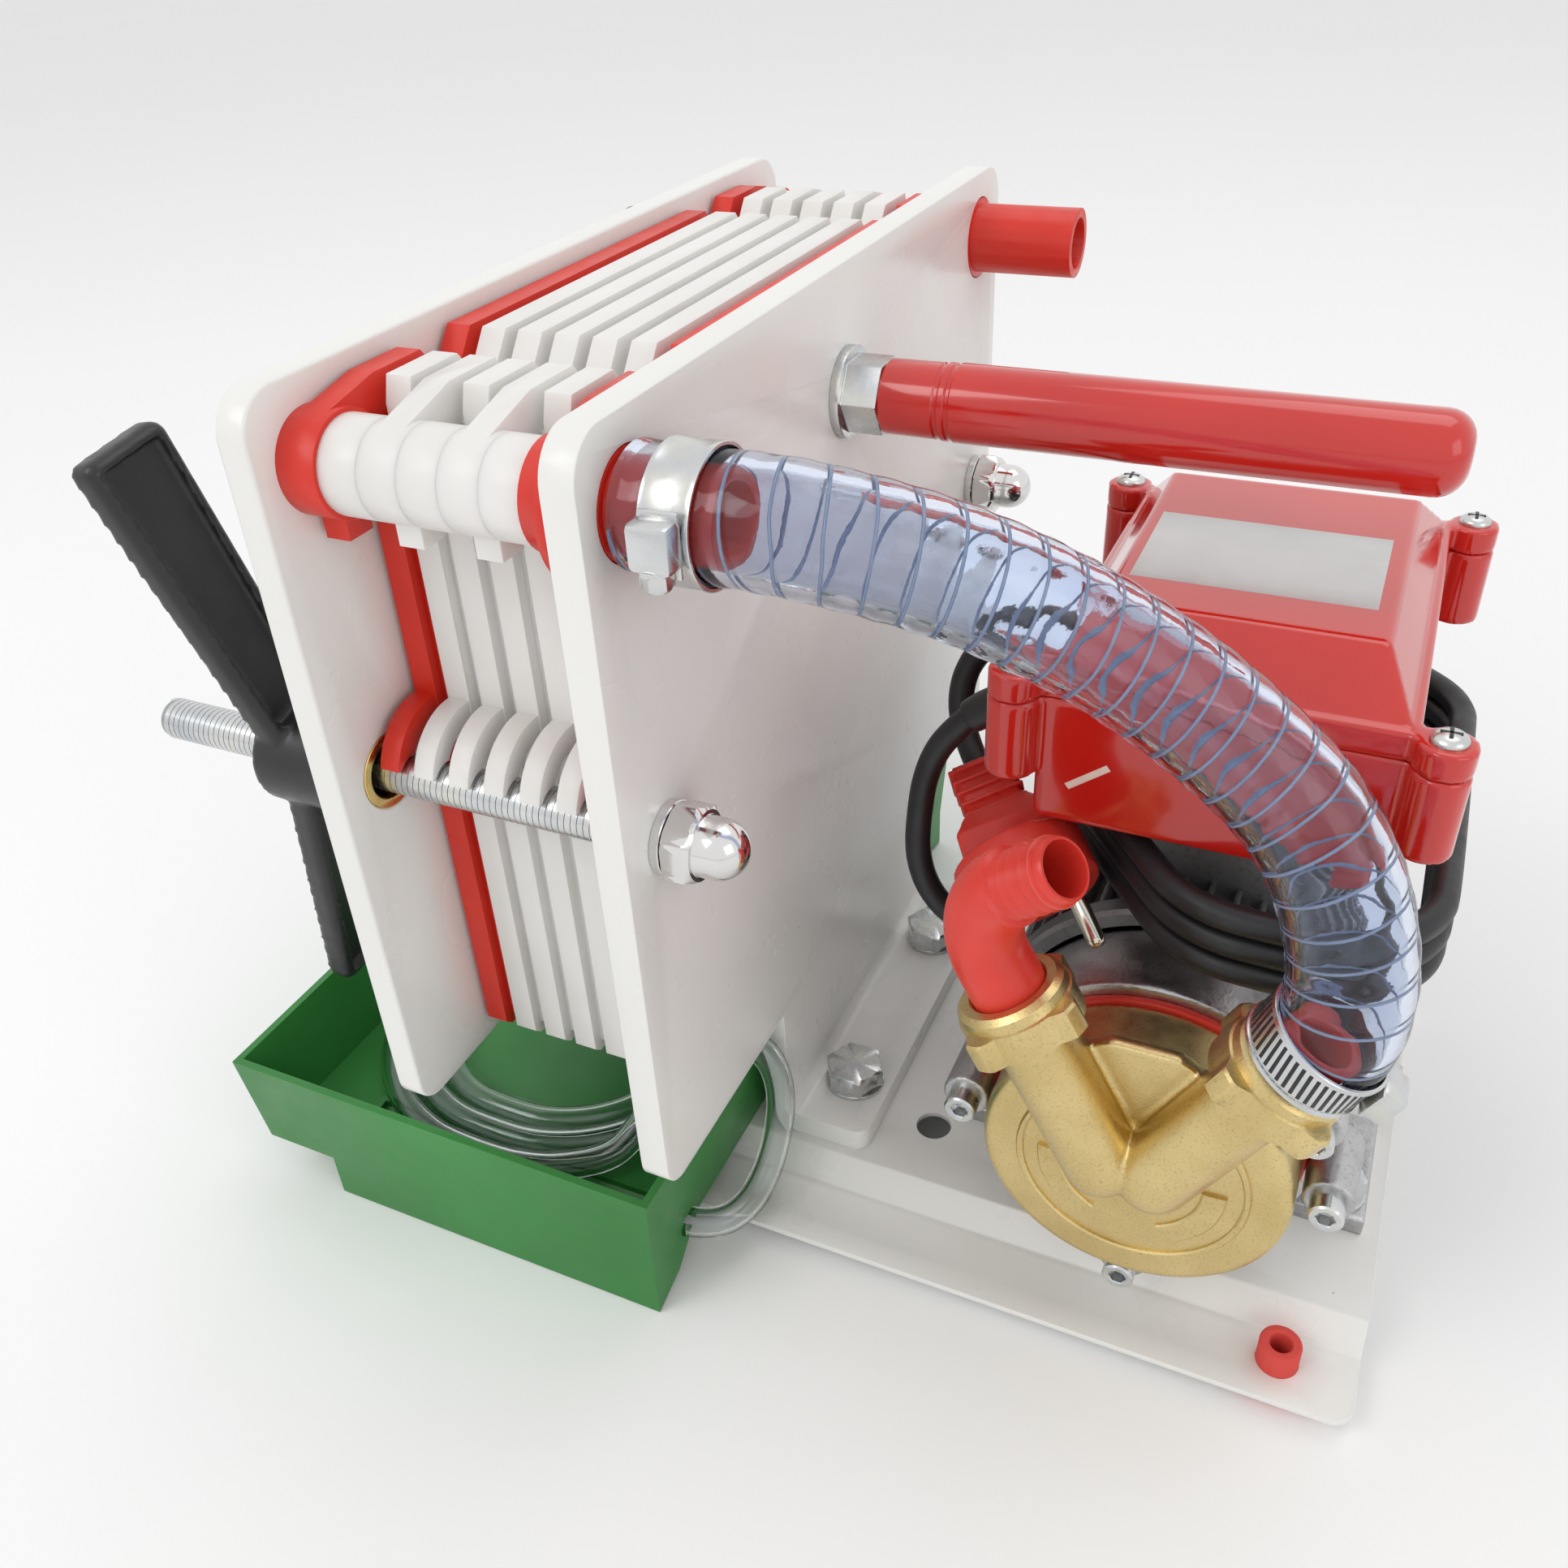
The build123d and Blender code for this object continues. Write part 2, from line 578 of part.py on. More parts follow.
def hose_tail(side, length):
    """Tail through the fixed plate, with a flange against its back."""
    y = side * CHANNEL_Y
    tail = cylinder_x(PLATE_BACK_X, PLATE_BACK_X + length, y, CHANNEL_Z, TAIL_RADIUS)
    tail += cylinder_x(PLATE_BACK_X, FIXED_FACE_X, y, CHANNEL_Z, TAIL_COLLAR_RADIUS)
    flange_x = PLATE_BACK_X - TAIL_FLANGE_THICK
    tail += cylinder_x(flange_x, PLATE_BACK_X, y, CHANNEL_Z, TAIL_FLANGE_RADIUS)
    return tail - cylinder_x(flange_x, PLATE_BACK_X + length, y, CHANNEL_Z, TAIL_BORE)


def moving_end_plate():
    """Moving end plate with its two bushing holes."""
    plate = end_plate_blank(MOVING_FACE_X)
    for y in ROD_YS:
        plate -= cylinder_x(MOVING_FACE_X - PLATE_THICK, MOVING_FACE_X, y, ROD_Z, BUSHING_RADIUS)
    return plate


def guide_bushing(y):
    """Brass bushing flush with both faces of the moving plate."""
    x0 = MOVING_FACE_X - PLATE_THICK
    ring = cylinder_x(x0, MOVING_FACE_X, y, ROD_Z, BUSHING_RADIUS)
    return ring - cylinder_x(x0, MOVING_FACE_X, y, ROD_Z, BUSHING_BORE)


def wing_outline(inset, start):
    """Blade outline that narrows towards the hub, in (Y, Z), with its rim taken off."""
    root_half = WING_ROOT_WIDTH / 2 - inset
    tip_half = WING_TIP_WIDTH / 2 - inset
    top = WING_REACH - inset
    corners = ((-root_half, start), (root_half, start), (tip_half, top), (-tip_half, top))
    return make_face(Polyline(*corners, close=True))


def wing_blade():
    """One upright blade in a frame on the rod axis; its pocket faces the moving plate."""
    back = Plane(origin=(-WING_ROOT_OFFSET - WING_THICK, 0, 0), x_dir=(0, 1, 0), z_dir=(1, 0, 0))
    outline = wing_outline(0, 0)
    upper = outline.vertices().group_by(Axis.Y)[-1]
    blade = extrude(back * fillet(upper, WING_TIP_RADIUS), amount=WING_THICK)
    tip_edges = blade.edges().filter_by(Axis.Y).group_by(Axis.Z)[-1]
    blade = fillet(tip_edges.sort_by(Axis.X)[-1], radius=WING_TIP_ROUNDING)
    front = Plane(origin=(-WING_ROOT_OFFSET, 0, 0), x_dir=(0, 1, 0), z_dir=(1, 0, 0))
    blade -= extrude(front * wing_outline(WING_RIM, WING_HUB_RADIUS), amount=-WING_POCKET_DEPTH)
    pivot = Pos(-WING_ROOT_OFFSET, 0, 0)
    return pivot * Rot(0, -WING_TILT, 0) * pivot.inverse() * blade


def wing_nut(y, turn):
    """Wing nut bearing on the moving plate; turn is its angle about the rod."""
    x0 = MOVING_FACE_X - PLATE_THICK
    hub = cylinder_x(-WING_HUB_LENGTH, 0, 0, 0, WING_HUB_RADIUS)
    blade = wing_blade()
    nut = hub + blade + Rot(180, 0, 0) * blade
    nut -= box_between(0, WING_REACH, -WING_REACH, WING_REACH, -WING_REACH, WING_REACH)
    nut = Rot(turn, 0, 0) * nut
    nut -= cylinder_x(-2 * WING_HUB_LENGTH, 0, 0, 0, ROD_RADIUS + WING_NUT_BORE_CLEARANCE)
    return Pos(x0, y, ROD_Z) * nut


def handle_grip():
    """Red grip with a rounded end."""
    grip = cylinder_x(HANDLE_START_X, HANDLE_END_X, 0, HANDLE_Z, HANDLE_RADIUS)
    end_edge = grip.edges().sort_by(Axis.X)[-1]
    return fillet(end_edge, radius=HANDLE_END_ROUNDING)


def handle_fixing():
    """Stud, washer and nut that hold the grip on the fixed plate."""
    nut_x = FIXED_FACE_X + SPRING_WASHER_THICK
    stud = cylinder_x(PLATE_BACK_X, FIXED_FACE_X, 0, HANDLE_Z, ROD_RADIUS)
    stud += cylinder_x(FIXED_FACE_X, nut_x, 0, HANDLE_Z, HANDLE_WASHER_RADIUS)
    plane = Plane(origin=(nut_x, 0, HANDLE_Z), x_dir=(0, 1, 0), z_dir=(1, 0, 0))
    return stud + extrude(plane * hexagon(M12_FLATS), amount=HANDLE_START_X - nut_x)


def motor_body():
    """Ribbed motor casing with the neck that carries the terminal box."""
    body = cylinder_y(MOTOR_FRONT_Y, MOTOR_REAR_Y, MOTOR_X, MOTOR_Z, MOTOR_RADIUS)
    neck = extrude(Plane.XY.offset(MOTOR_Z) * Pos(BOX_X, BOX_Y) * Rectangle(NECK_LENGTH_X, NECK_LENGTH_Y),
                   amount=SADDLE_Z - MOTOR_Z)
    low = Plane.XY.offset(SADDLE_Z) * Pos(BOX_X, BOX_Y) * Rectangle(NECK_LENGTH_X, NECK_LENGTH_Y)
    high = Plane.XY.offset(BOX_BOTTOM) * Pos(BOX_X, BOX_Y) * Rectangle(SADDLE_LENGTH_X, SADDLE_LENGTH_Y)
    return body + neck + loft([low, high])


def fan_cover():
    """Rear fan cover with air slots."""
    cover = cylinder_y(MOTOR_REAR_Y, FAN_COVER_REAR_Y, MOTOR_X, MOTOR_Z, FAN_COVER_RADIUS)
    rim = cover.edges().sort_by(Axis.Y)[-1]
    return fillet(rim, radius=FAN_COVER_ROUNDING)


def motor_feet():
    """Cast feet on both sides of the motor."""
    feet = None
    for side in (-1, 1):
        outer = MOTOR_X + side * MOTOR_FOOT_SPAN / 2
        inner = outer - side * MOTOR_FOOT_WIDTH
        low, high = min(inner, outer), max(inner, outer)
        foot = box_between(low, high, MOTOR_FOOT_FRONT_Y, MOTOR_FOOT_FRONT_Y + MOTOR_FOOT_DEPTH,
                           PLATEAU_TOP, PLATEAU_TOP + MOTOR_FOOT_THICK)
        web_low, web_high = sorted((MOTOR_X + side * FOOT_WEB_INNER, MOTOR_X + side * FOOT_WEB_OUTER))
        rear = MOTOR_FOOT_FRONT_Y + MOTOR_FOOT_DEPTH
        foot += box_between(web_low, web_high, MOTOR_FOOT_FRONT_Y + FOOT_WEB_INSET, rear - FOOT_WEB_INSET,
                            PLATEAU_TOP, PLATEAU_TOP + FOOT_WEB_HEIGHT)
        feet = foot if feet is None else feet + foot
    return feet - cylinder_y(MOTOR_FRONT_Y, MOTOR_REAR_Y, MOTOR_X, MOTOR_Z, MOTOR_RADIUS)


def motor_foot_nuts():
    """Nuts on the studs of the motor feet."""
    nuts = []
    y = MOTOR_FOOT_FRONT_Y + FOOT_STUD_SET_BACK
    seat = PLATEAU_TOP + MOTOR_FOOT_THICK
    top = seat + FOOT_NUT_WASHER
    for side in (-1, 1):
        x = MOTOR_X + side * (MOTOR_FOOT_SPAN / 2 - FOOT_STUD_INSET)
        nut = cylinder_z(seat, top, x, y, FOOT_NUT_WASHER_RADIUS)
        nut += extrude(Plane.XY.offset(top) * Pos(x, y) * hexagon(M8_FLATS), amount=FOOT_NUT_HEIGHT)
        nuts.append(nut + cylinder_z(seat, seat + FOOT_STUD_HEIGHT, x, y, FOOT_STUD_RADIUS))
    return Compound(nuts)


def pump_casing():
    """Aluminium casing between the motor and the brass head."""
    casing = cylinder_y(CASING_FRONT_Y, MOTOR_FRONT_Y, MOTOR_X, MOTOR_Z, CASING_RADIUS)
    for x, z in pump_screw_places():
        ear_front = CASING_FRONT_Y - EAR_STANDS_PROUD
        casing += cylinder_y(ear_front, CASING_FRONT_Y + EAR_LENGTH, x, z, EAR_RADIUS)
    return casing


def pump_gasket():
    """Red gasket under the head."""
    return cylinder_y(CASING_FRONT_Y - GASKET_THICK, CASING_FRONT_Y, MOTOR_X, MOTOR_Z,
                      HEAD_RADIUS + GASKET_OVERHANG)


def port_direction(side):
    """Unit vector of a port in the head's plane."""
    angle = math.radians(PORT_ANGLE)
    return Vector(side * math.sin(angle), 0, math.cos(angle))


def port_plane(side, distance):
    """Plane across a port at a distance from its root."""
    direction = port_direction(side)
    origin = Vector(MOTOR_X, PORT_Y, MOTOR_Z) + direction * distance
    return Plane(origin=origin, x_dir=(0, 1, 0), z_dir=direction)


def pump_head():
    """Brass disc with its two ports and the web between them."""
    disc = cylinder_y(HEAD_FRONT_Y, CASING_FRONT_Y - GASKET_THICK, MOTOR_X, MOTOR_Z, HEAD_RADIUS)
    head = fillet(disc.edges().sort_by(Axis.Y)[0], radius=HEAD_EDGE_RADIUS)
    for side in (-1, 1):
        start = port_plane(side, PORT_KNUCKLE)
        head += extrude(start * Circle(PORT_RADIUS), amount=PORT_LENGTH - PORT_KNUCKLE)
        head += Pos(*start.origin) * Sphere(PORT_RADIUS)
    reach = (WEB_SHOULDER_Z - MOTOR_Z) * math.tan(math.radians(PORT_ANGLE))
    web = make_face(Polyline(
        (MOTOR_X, MOTOR_Z),
        (MOTOR_X + reach, WEB_SHOULDER_Z),
        (MOTOR_X + WEB_TOP_HALF, WEB_TOP_Z),
        (MOTOR_X - WEB_TOP_HALF, WEB_TOP_Z),
        (MOTOR_X - reach, WEB_SHOULDER_Z),
        close=True,
    ))
    plane = Plane(origin=(0, WEB_FRONT_Y, 0), x_dir=(1, 0, 0), z_dir=(0, -1, 0))
    head += extrude(plane * web, amount=WEB_FRONT_Y - HEAD_FRONT_Y)
    for side in (-1, 1):
        head -= extrude(port_plane(side, PORT_BORE_START) * Circle(PORT_BORE), amount=PORT_LENGTH)
    return head


def union_ring(side):
    """Union ring with lugs, screwed on a port."""
    ring = extrude(port_plane(side, UNION_START) * Circle(UNION_RADIUS), amount=UNION_LENGTH)
    first = UNION_LUG_TURN_RIGHT if side > 0 else UNION_LUG_TURN_LEFT
    for turn in range(4):
        lug = Rot(0, 0, 90 * turn + first) * Pos(UNION_RADIUS, 0, 0)
        lug *= Rectangle(2 * UNION_LUG_REACH, UNION_LUG_WIDTH)
        ring += extrude(port_plane(side, UNION_START) * lug, amount=UNION_LUG_LENGTH)
    thread = PORT_LENGTH - UNION_START
    ring -= extrude(port_plane(side, UNION_START) * Circle(PORT_RADIUS), amount=thread)
    return ring - extrude(port_plane(side, UNION_START) * Circle(ELBOW_RADIUS + UNION_CLEARANCE),
                          amount=UNION_LENGTH)


def tube_along(path, radius, bore):
    """Hollow round tube swept along a path of lines and arcs."""
    plane = Plane(origin=path @ 0, z_dir=path % 0)
    outer = sweep(plane * Circle(radius), path=path)
    inner = sweep(plane * Circle(bore), path=path)
    return outer - inner


def elbow_points():
    """Corners of the suction elbow's centre line."""
    start = port_plane(-1, PORT_LENGTH).origin
    corner = start + port_direction(-1) * ELBOW_RISE
    mouth = corner + Vector(*ELBOW_DIRECTION).normalized() * ELBOW_TAIL
    return [start, corner, mouth]


def suction_elbow():
    """Red elbow whose mouth narrows to a hose tail."""
    points = elbow_points()
    path = FilletPolyline(*points, radius=ELBOW_BEND)
    outer = sweep(Plane(origin=path @ 0, z_dir=path % 0) * Circle(ELBOW_RADIUS), path=path)
    bore = sweep(Plane(origin=path @ 0, z_dir=path % 0) * Circle(ELBOW_BORE), path=path)
    direction = Vector(*ELBOW_DIRECTION).normalized()
    neck = Plane(origin=points[-1] - direction * ELBOW_BARB_LENGTH, z_dir=direction)
    around = Circle(2 * ELBOW_RADIUS) - Circle(ELBOW_BARB_RADIUS)
    outer -= extrude(neck * around, amount=2 * ELBOW_BARB_LENGTH)
    return outer - bore


def delivery_tail():
    """Hose tail in the right union ring, inside the hose."""
    outer = extrude(port_plane(1, PORT_LENGTH) * Circle(ELBOW_RADIUS), amount=DELIVERY_TAIL_LENGTH)
    return outer - extrude(port_plane(1, PORT_LENGTH) * Circle(ELBOW_BORE), amount=DELIVERY_TAIL_LENGTH)


def hose_points():
    """Corners of the inlet hose's centre line."""
    start = Vector(FIXED_FACE_X + HOSE_SET_BACK, -CHANNEL_Y, CHANNEL_Z)
    union_end = UNION_START + UNION_LENGTH
    last = port_plane(1, union_end + HOSE_END_RUN).origin
    end = port_plane(1, union_end + HOSE_END_GAP).origin
    from_plate = [start + Vector(*step) for step in HOSE_FROM_PLATE]
    from_pump = [last + Vector(*step) for step in HOSE_FROM_PUMP]
    return [start, *from_plate, *from_pump, last, end]


def inlet_hose():
    """Clear spiral hose from the pump to the red plate."""
    points = hose_points()
    radii = corner_radii(points)
    path = FilletPolyline(*points, radius=radii)
    return tube_along(path, HOSE_RADIUS, HOSE_BORE)


def corner_radii(points):
    """Largest arc at each corner: a share of the shorter run over the tangent of half the turn."""
    radii = []
    for before, here, after in zip(points, points[1:], points[2:]):
        turn = math.radians((here - before).get_angle(after - here))
        shorter = min((here - before).length, (after - here).length)
        radii.append(ARC_SHARE * shorter / math.tan(turn / 2))
    return radii


def clamp_ring(plane):
    """Worm-drive clamp: band and screw housing."""
    radius = HOSE_RADIUS + CLAMP_CLEARANCE
    band = extrude(plane * (Circle(radius + CLAMP_BAND) - Circle(radius)), amount=CLAMP_WIDTH)
    housing_centre = radius + CLAMP_BAND - CLAMP_HOUSING_OVERLAP + CLAMP_HOUSING_DEPTH / 2
    housing = plane * Pos(housing_centre, 0, 0) * Rectangle(CLAMP_HOUSING_DEPTH, CLAMP_HOUSING_WIDTH)
    return band + extrude(housing, amount=CLAMP_WIDTH)


def terminal_box():
    """Box on the motor's neck, with four screw bosses."""
    x0, x1 = BOX_X - BOX_LENGTH_X / 2, BOX_X + BOX_LENGTH_X / 2
    y0, y1 = BOX_Y - BOX_LENGTH_Y / 2, BOX_Y + BOX_LENGTH_Y / 2
    box = box_between(x0, x1, y0, y1, BOX_BOTTOM, BOX_SEAM)
    box = fillet(box.edges().filter_by(Axis.Z), radius=BOX_CORNER_RADIUS)
    for x, y in boss_places():
        box += cylinder_z(BOX_SEAM - BOX_BOSS_LENGTH, BOX_SEAM, x, y, BOX_BOSS_RADIUS)
    return box


def boss_places():
    """Centres of the four screw bosses."""
    reach_x = BOX_LENGTH_X / 2 + BOX_BOSS_OUTSET_X
    reach_y = BOX_LENGTH_Y / 2 + BOX_BOSS_OUTSET_Y
    return [(BOX_X + sx * reach_x, BOX_Y + sy * reach_y) for sx in (-1, 1) for sy in (-1, 1)]


def terminal_box_lid():
    """Lid with a raised, sloping middle."""
    x0, x1 = BOX_X - BOX_LENGTH_X / 2, BOX_X + BOX_LENGTH_X / 2
    y0, y1 = BOX_Y - BOX_LENGTH_Y / 2, BOX_Y + BOX_LENGTH_Y / 2
    lid = box_between(x0, x1, y0, y1, BOX_SEAM, BOX_LID_RIM)
    low_x = BOX_LENGTH_X - 2 * BOX_LID_STEP
    low_y = BOX_LENGTH_Y - 2 * BOX_LID_STEP
    base = Plane.XY.offset(BOX_LID_RIM) * Pos(BOX_X, BOX_Y) * Rectangle(low_x, low_y)
    top = Plane.XY.offset(BOX_LID_TOP) * Pos(BOX_X, BOX_Y) * Rectangle(low_x - BOX_LID_SLOPE,
                                                                      low_y - 2 * BOX_LID_SLOPE)
    lid += loft([base, top])
    for x, y in boss_places():
        lid += cylinder_z(BOX_SEAM, BOX_LID_RIM, x, y, BOX_BOSS_RADIUS)
    return lid


def lid_screws():
    """Cross-head screws in the bosses."""
    top = BOX_LID_RIM + LID_SCREW_HEAD
    return Compound([cylinder_z(BOX_LID_RIM, top, x, y, LID_SCREW_RADIUS) for x, y in boss_places()])


def pump_screw_places():
    """Centres of the screws that hold the head, in (X, Z)."""
    places = []
    for angle in PUMP_SCREW_ANGLES:
        turn = math.radians(angle)
        across = PUMP_SCREW_CIRCLE * math.cos(turn)
        up = PUMP_SCREW_CIRCLE * math.sin(turn)
        places.append((MOTOR_X + across, MOTOR_Z + up))
    return places


def pump_screws():
    """Socket-head screws in the ears of the pump casing."""
    seat = CASING_FRONT_Y - EAR_STANDS_PROUD
    return Compound([cylinder_y(seat - PUMP_SCREW_HEAD, seat, x, z, PUMP_SCREW_RADIUS)
                     for x, z in pump_screw_places()])


def tray_basin(inset, floor_z):
    """Flat part of the tray with drafted walls, drawn in by a wall's thickness."""
    middle = Pos((TRAY_LEFT + TRAY_RIGHT) / 2, 0)
    length = TRAY_RIGHT - TRAY_LEFT - 2 * inset
    width = 2 * (TRAY_HALF_WIDTH - inset)
    rim = Plane.XY.offset(TRAY_RIM_Z) * middle * Rectangle(length, width)
    low = Plane.XY.offset(floor_z) * middle * Rectangle(length - TRAY_DRAFT, width - TRAY_DRAFT)
    return loft([low, rim])


def drip_tray():
    """Tray under the plates, with deep troughs in front of and behind the base."""
    tray = tray_basin(0, TRAY_SHALLOW_Z)
    right = TRAY_RIGHT - TRAY_DRAFT / 2
    for side in (-1, 1):
        tray += trough(side, 0, TRAY_DEEP_LEFT, right)
    tray -= tray_basin(TRAY_WALL, TRAY_SHALLOW_Z + TRAY_WALL)
    for side in (-1, 1):
        tray -= trough(side, TRAY_WALL, TRAY_DEEP_LEFT + TRAY_WALL, right - TRAY_WALL)
    spout_y, spout_z = DRAIN_POINTS[0][1:]
    return tray - cylinder_x(right - 2 * TRAY_WALL, right + TRAY_WALL, spout_y, spout_z, DRAIN_RADIUS)


def trough(side, inset, x_left, x_right):
    """Deep end of the tray beside the base: flat floor and a sloping inner wall."""
    outer_y = TRAY_HALF_WIDTH - TRAY_DRAFT / 2 - inset
    top_z = TRAY_SHALLOW_Z + 2 * inset + TRAY_OVERLAP
    profile = make_face(Polyline(
        (side * outer_y, inset),
        (side * (TRAY_DEEP_FLOOR_Y + inset), TRAY_DEEP_Z + inset),
        (side * (TRAY_DEEP_INNER_Y + inset), TRAY_SHALLOW_Z),
        (side * (TRAY_DEEP_INNER_Y + inset), top_z),
        (side * outer_y, top_z),
        close=True,
    ))
    plane = Plane(origin=(x_left, 0, 0), x_dir=(0, 1, 0), z_dir=(1, 0, 0))
    return extrude(plane * profile, amount=x_right - x_left)


def drain_tube():
    """Clear tube from the tray's end wall to the coil."""
    return cord_tube(DRAIN_POINTS, DRAIN_RADIUS)


def drain_coil():
    """Outer shape of the drain tube's turns, which lie side by side in the tray."""
    floor_z = TRAY_SHALLOW_Z + TRAY_WALL + DRAIN_LIFT
    middle = Pos(*DRAIN_COIL_CENTRE) * RectangleRounded(2 * DRAIN_COIL_HALF_X, 2 * DRAIN_COIL_HALF_Y,
                                                      DRAIN_COIL_BEND)
    half_band = DRAIN_TURNS * DRAIN_RADIUS
    band = offset(middle, amount=half_band) - offset(middle, amount=-half_band)
    return extrude(Plane.XY.offset(floor_z) * band, amount=2 * DRAIN_RADIUS)


def cord_ring():
    """Outer shape of the cord turns wound round the motor's neck."""
    middle = make_face(FilletPolyline(*CORD_RING_CORNERS, radius=CORD_RING_BEND, close=True))
    band = offset(middle, amount=CORD_RADIUS) - offset(middle, amount=-CORD_RADIUS)
    return extrude(Plane.XY.offset(CORD_RING_Z) * band, amount=2 * CORD_RADIUS * CORD_TURNS)


def cord_tube(points, tube_radius):
    """Solid tube along straight runs joined by tangent arcs."""
    route = [Vector(*point) for point in points]
    radii = corner_radii(route)
    path = FilletPolyline(*route, radius=radii)
    tube = sweep(Plane(origin=path @ 0, z_dir=path % 0) * Circle(tube_radius), path=path)
    expected = math.pi * tube_radius ** 2 * path.length
    print("cord arcs", [round(radius, 1) for radius in radii], "length", round(path.length, 1),
          "volume", round(tube.volume), "of", round(expected))
    return tube


def cable_gland():
    """Gland nut and tapered relief that bends down with the cord."""
    face_x = BOX_X - BOX_LENGTH_X / 2
    plane = Plane(origin=(face_x, GLAND_Y, GLAND_Z), x_dir=(0, 1, 0), z_dir=(-1, 0, 0))
    nut = extrude(plane * hexagon(GLAND_FLATS), amount=GLAND_NUT_THICK)
    start_x = face_x - GLAND_NUT_THICK
    sections = []
    for step in range(GLAND_STEPS + 1):
        turn = math.radians(GLAND_TURN * step / GLAND_STEPS)
        drop = GLAND_BEND * (1 - math.cos(turn))
        centre = (start_x - GLAND_BEND * math.sin(turn), GLAND_Y, GLAND_Z - drop)
        heading = (-math.cos(turn), 0, -math.sin(turn))
        radius = GLAND_RADIUS + (GLAND_TIP_RADIUS - GLAND_RADIUS) * step / GLAND_STEPS
        sections.append(Plane(origin=centre, x_dir=(0, 1, 0), z_dir=heading) * Circle(radius))
    return nut + loft(sections)


def plug_plane(distance):
    """Plane across the plug, at a distance behind its face; X runs along the row of pins."""
    direction = Vector(*PLUG_DIRECTION).normalized()
    level = Vector(-direction.Y, direction.X, 0).normalized()
    row = level.rotate(Axis((0, 0, 0), direction), PLUG_TWIST)
    return Plane(origin=Vector(*PLUG_FACE) - direction * distance, x_dir=row, z_dir=direction)


def mains_plug():
    """Round-faced plug with a flat grip that narrows to the cord."""
    face = extrude(plug_plane(0) * Circle(PLUG_FACE_RADIUS), amount=-PLUG_FACE_THICK)
    grip = loft([
        plug_plane(PLUG_LENGTH) * Rectangle(PLUG_RELIEF_WIDTH, PLUG_RELIEF_DEPTH),
        plug_plane(PLUG_NECK) * Rectangle(PLUG_RELIEF_WIDTH, PLUG_RELIEF_DEPTH),
        plug_plane(PLUG_GRIP_END) * Rectangle(PLUG_GRIP_WIDTH, PLUG_GRIP_DEPTH),
        plug_plane(0) * Rectangle(PLUG_GRIP_WIDTH, PLUG_GRIP_DEPTH),
    ], ruled=True)
    return face + grip


def plug_pins():
    """Two round pins."""
    pins = []
    for side in (-1, 1):
        pin = extrude(plug_plane(0) * Pos(side * PIN_SPACING / 2, 0) * Circle(PIN_RADIUS), amount=PIN_LENGTH)
        pins.append(pin)
    return Compound(pins)


def build_nodes():
    """Every node by name."""
    feet = [rubber_foot(x, y) for x in (-FOOT_SPACING_X / 2, FOOT_SPACING_X / 2)
            for y in (-FOOT_SPACING_Y / 2, FOOT_SPACING_Y / 2)]
    nodes = {
        "base_plate": base_plate(),
        "rubber_feet": Compound(feet),
        "fixed_end_plate": fixed_end_plate(),
        "foot_bolts": Compound([foot_bolt(y) for y in (-FOOT_BOLT_SPACING / 2, FOOT_BOLT_SPACING / 2)]),
        "tie_rod_near": tie_rod(ROD_YS[0]),
        "tie_rod_far": tie_rod(ROD_YS[1]),
        "cap_nut_near": cap_nut(ROD_YS[0]),
        "cap_nut_far": cap_nut(ROD_YS[1]),
        "handle_grip": handle_grip(),
        "handle_fixing": handle_fixing(),
        "fixed_red_plate": filter_plate(0),
        "moving_red_plate": filter_plate(FILTER_COUNT - 1, closed_end=True),
        "moving_end_plate": moving_end_plate(),
        "guide_bushings": Compound([guide_bushing(y) for y in ROD_YS]),
        "wing_nut_near": wing_nut(ROD_YS[0], WING_TURN),
        "wing_nut_far": wing_nut(ROD_YS[1], WING_TURN),
        "motor_body": motor_body(),
        "motor_fan_cover": fan_cover(),
        "motor_feet": motor_feet(),
        "motor_foot_nuts": motor_foot_nuts(),
        "pump_casing": pump_casing(),
        "pump_gasket": pump_gasket(),
        "pump_head": pump_head(),
        "pump_screws": pump_screws(),
        "union_ring_left": union_ring(-1),
        "union_ring_right": union_ring(1),
        "suction_elbow": suction_elbow(),
        "delivery_tail": delivery_tail(),
        "inlet_hose_clamp": clamp_ring(Plane(origin=(FIXED_FACE_X + CLAMP_SET_BACK, -CHANNEL_Y, CHANNEL_Z),
                                             x_dir=(0, -1, 0), z_dir=(1, 0, 0))),
        "pump_hose_clamp": clamp_ring(port_plane(1, UNION_START + UNION_LENGTH + CLAMP_END_GAP)),
        "inlet_hose": inlet_hose(),
        "terminal_box": terminal_box(),
        "terminal_box_lid": terminal_box_lid(),
        "lid_screws": lid_screws(),
        "drip_tray": drip_tray(),
        "drain_tube": drain_tube(),
        "drain_tube_coil": drain_coil(),
        "power_cord_coil": cord_ring(),
        "power_cord_tube": Compound([
            cord_tube(CORD_FROM_BOX, CORD_RADIUS),
            cord_tube(CORD_TO_PLUG, CORD_RADIUS),
        ]),
        "cable_gland": cable_gland(),
        "mains_plug": mains_plug(),
        "plug_pins": plug_pins(),
    }
    for index in range(1, FILTER_COUNT - 1):
        nodes[f"white_plate_{FILTER_COUNT - 1 - index}"] = filter_plate(index)
    return nodes


os.makedirs("parts", exist_ok=True)
for name, shape in build_nodes().items():
    export_step(shape, f"parts/{name}.step")
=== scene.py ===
import json
import logging
import math
from dataclasses import dataclass, field
from enum import Enum
from typing import Callable, Optional, Sequence, Union

import bmesh
import bpy
from mathutils import Matrix, Vector

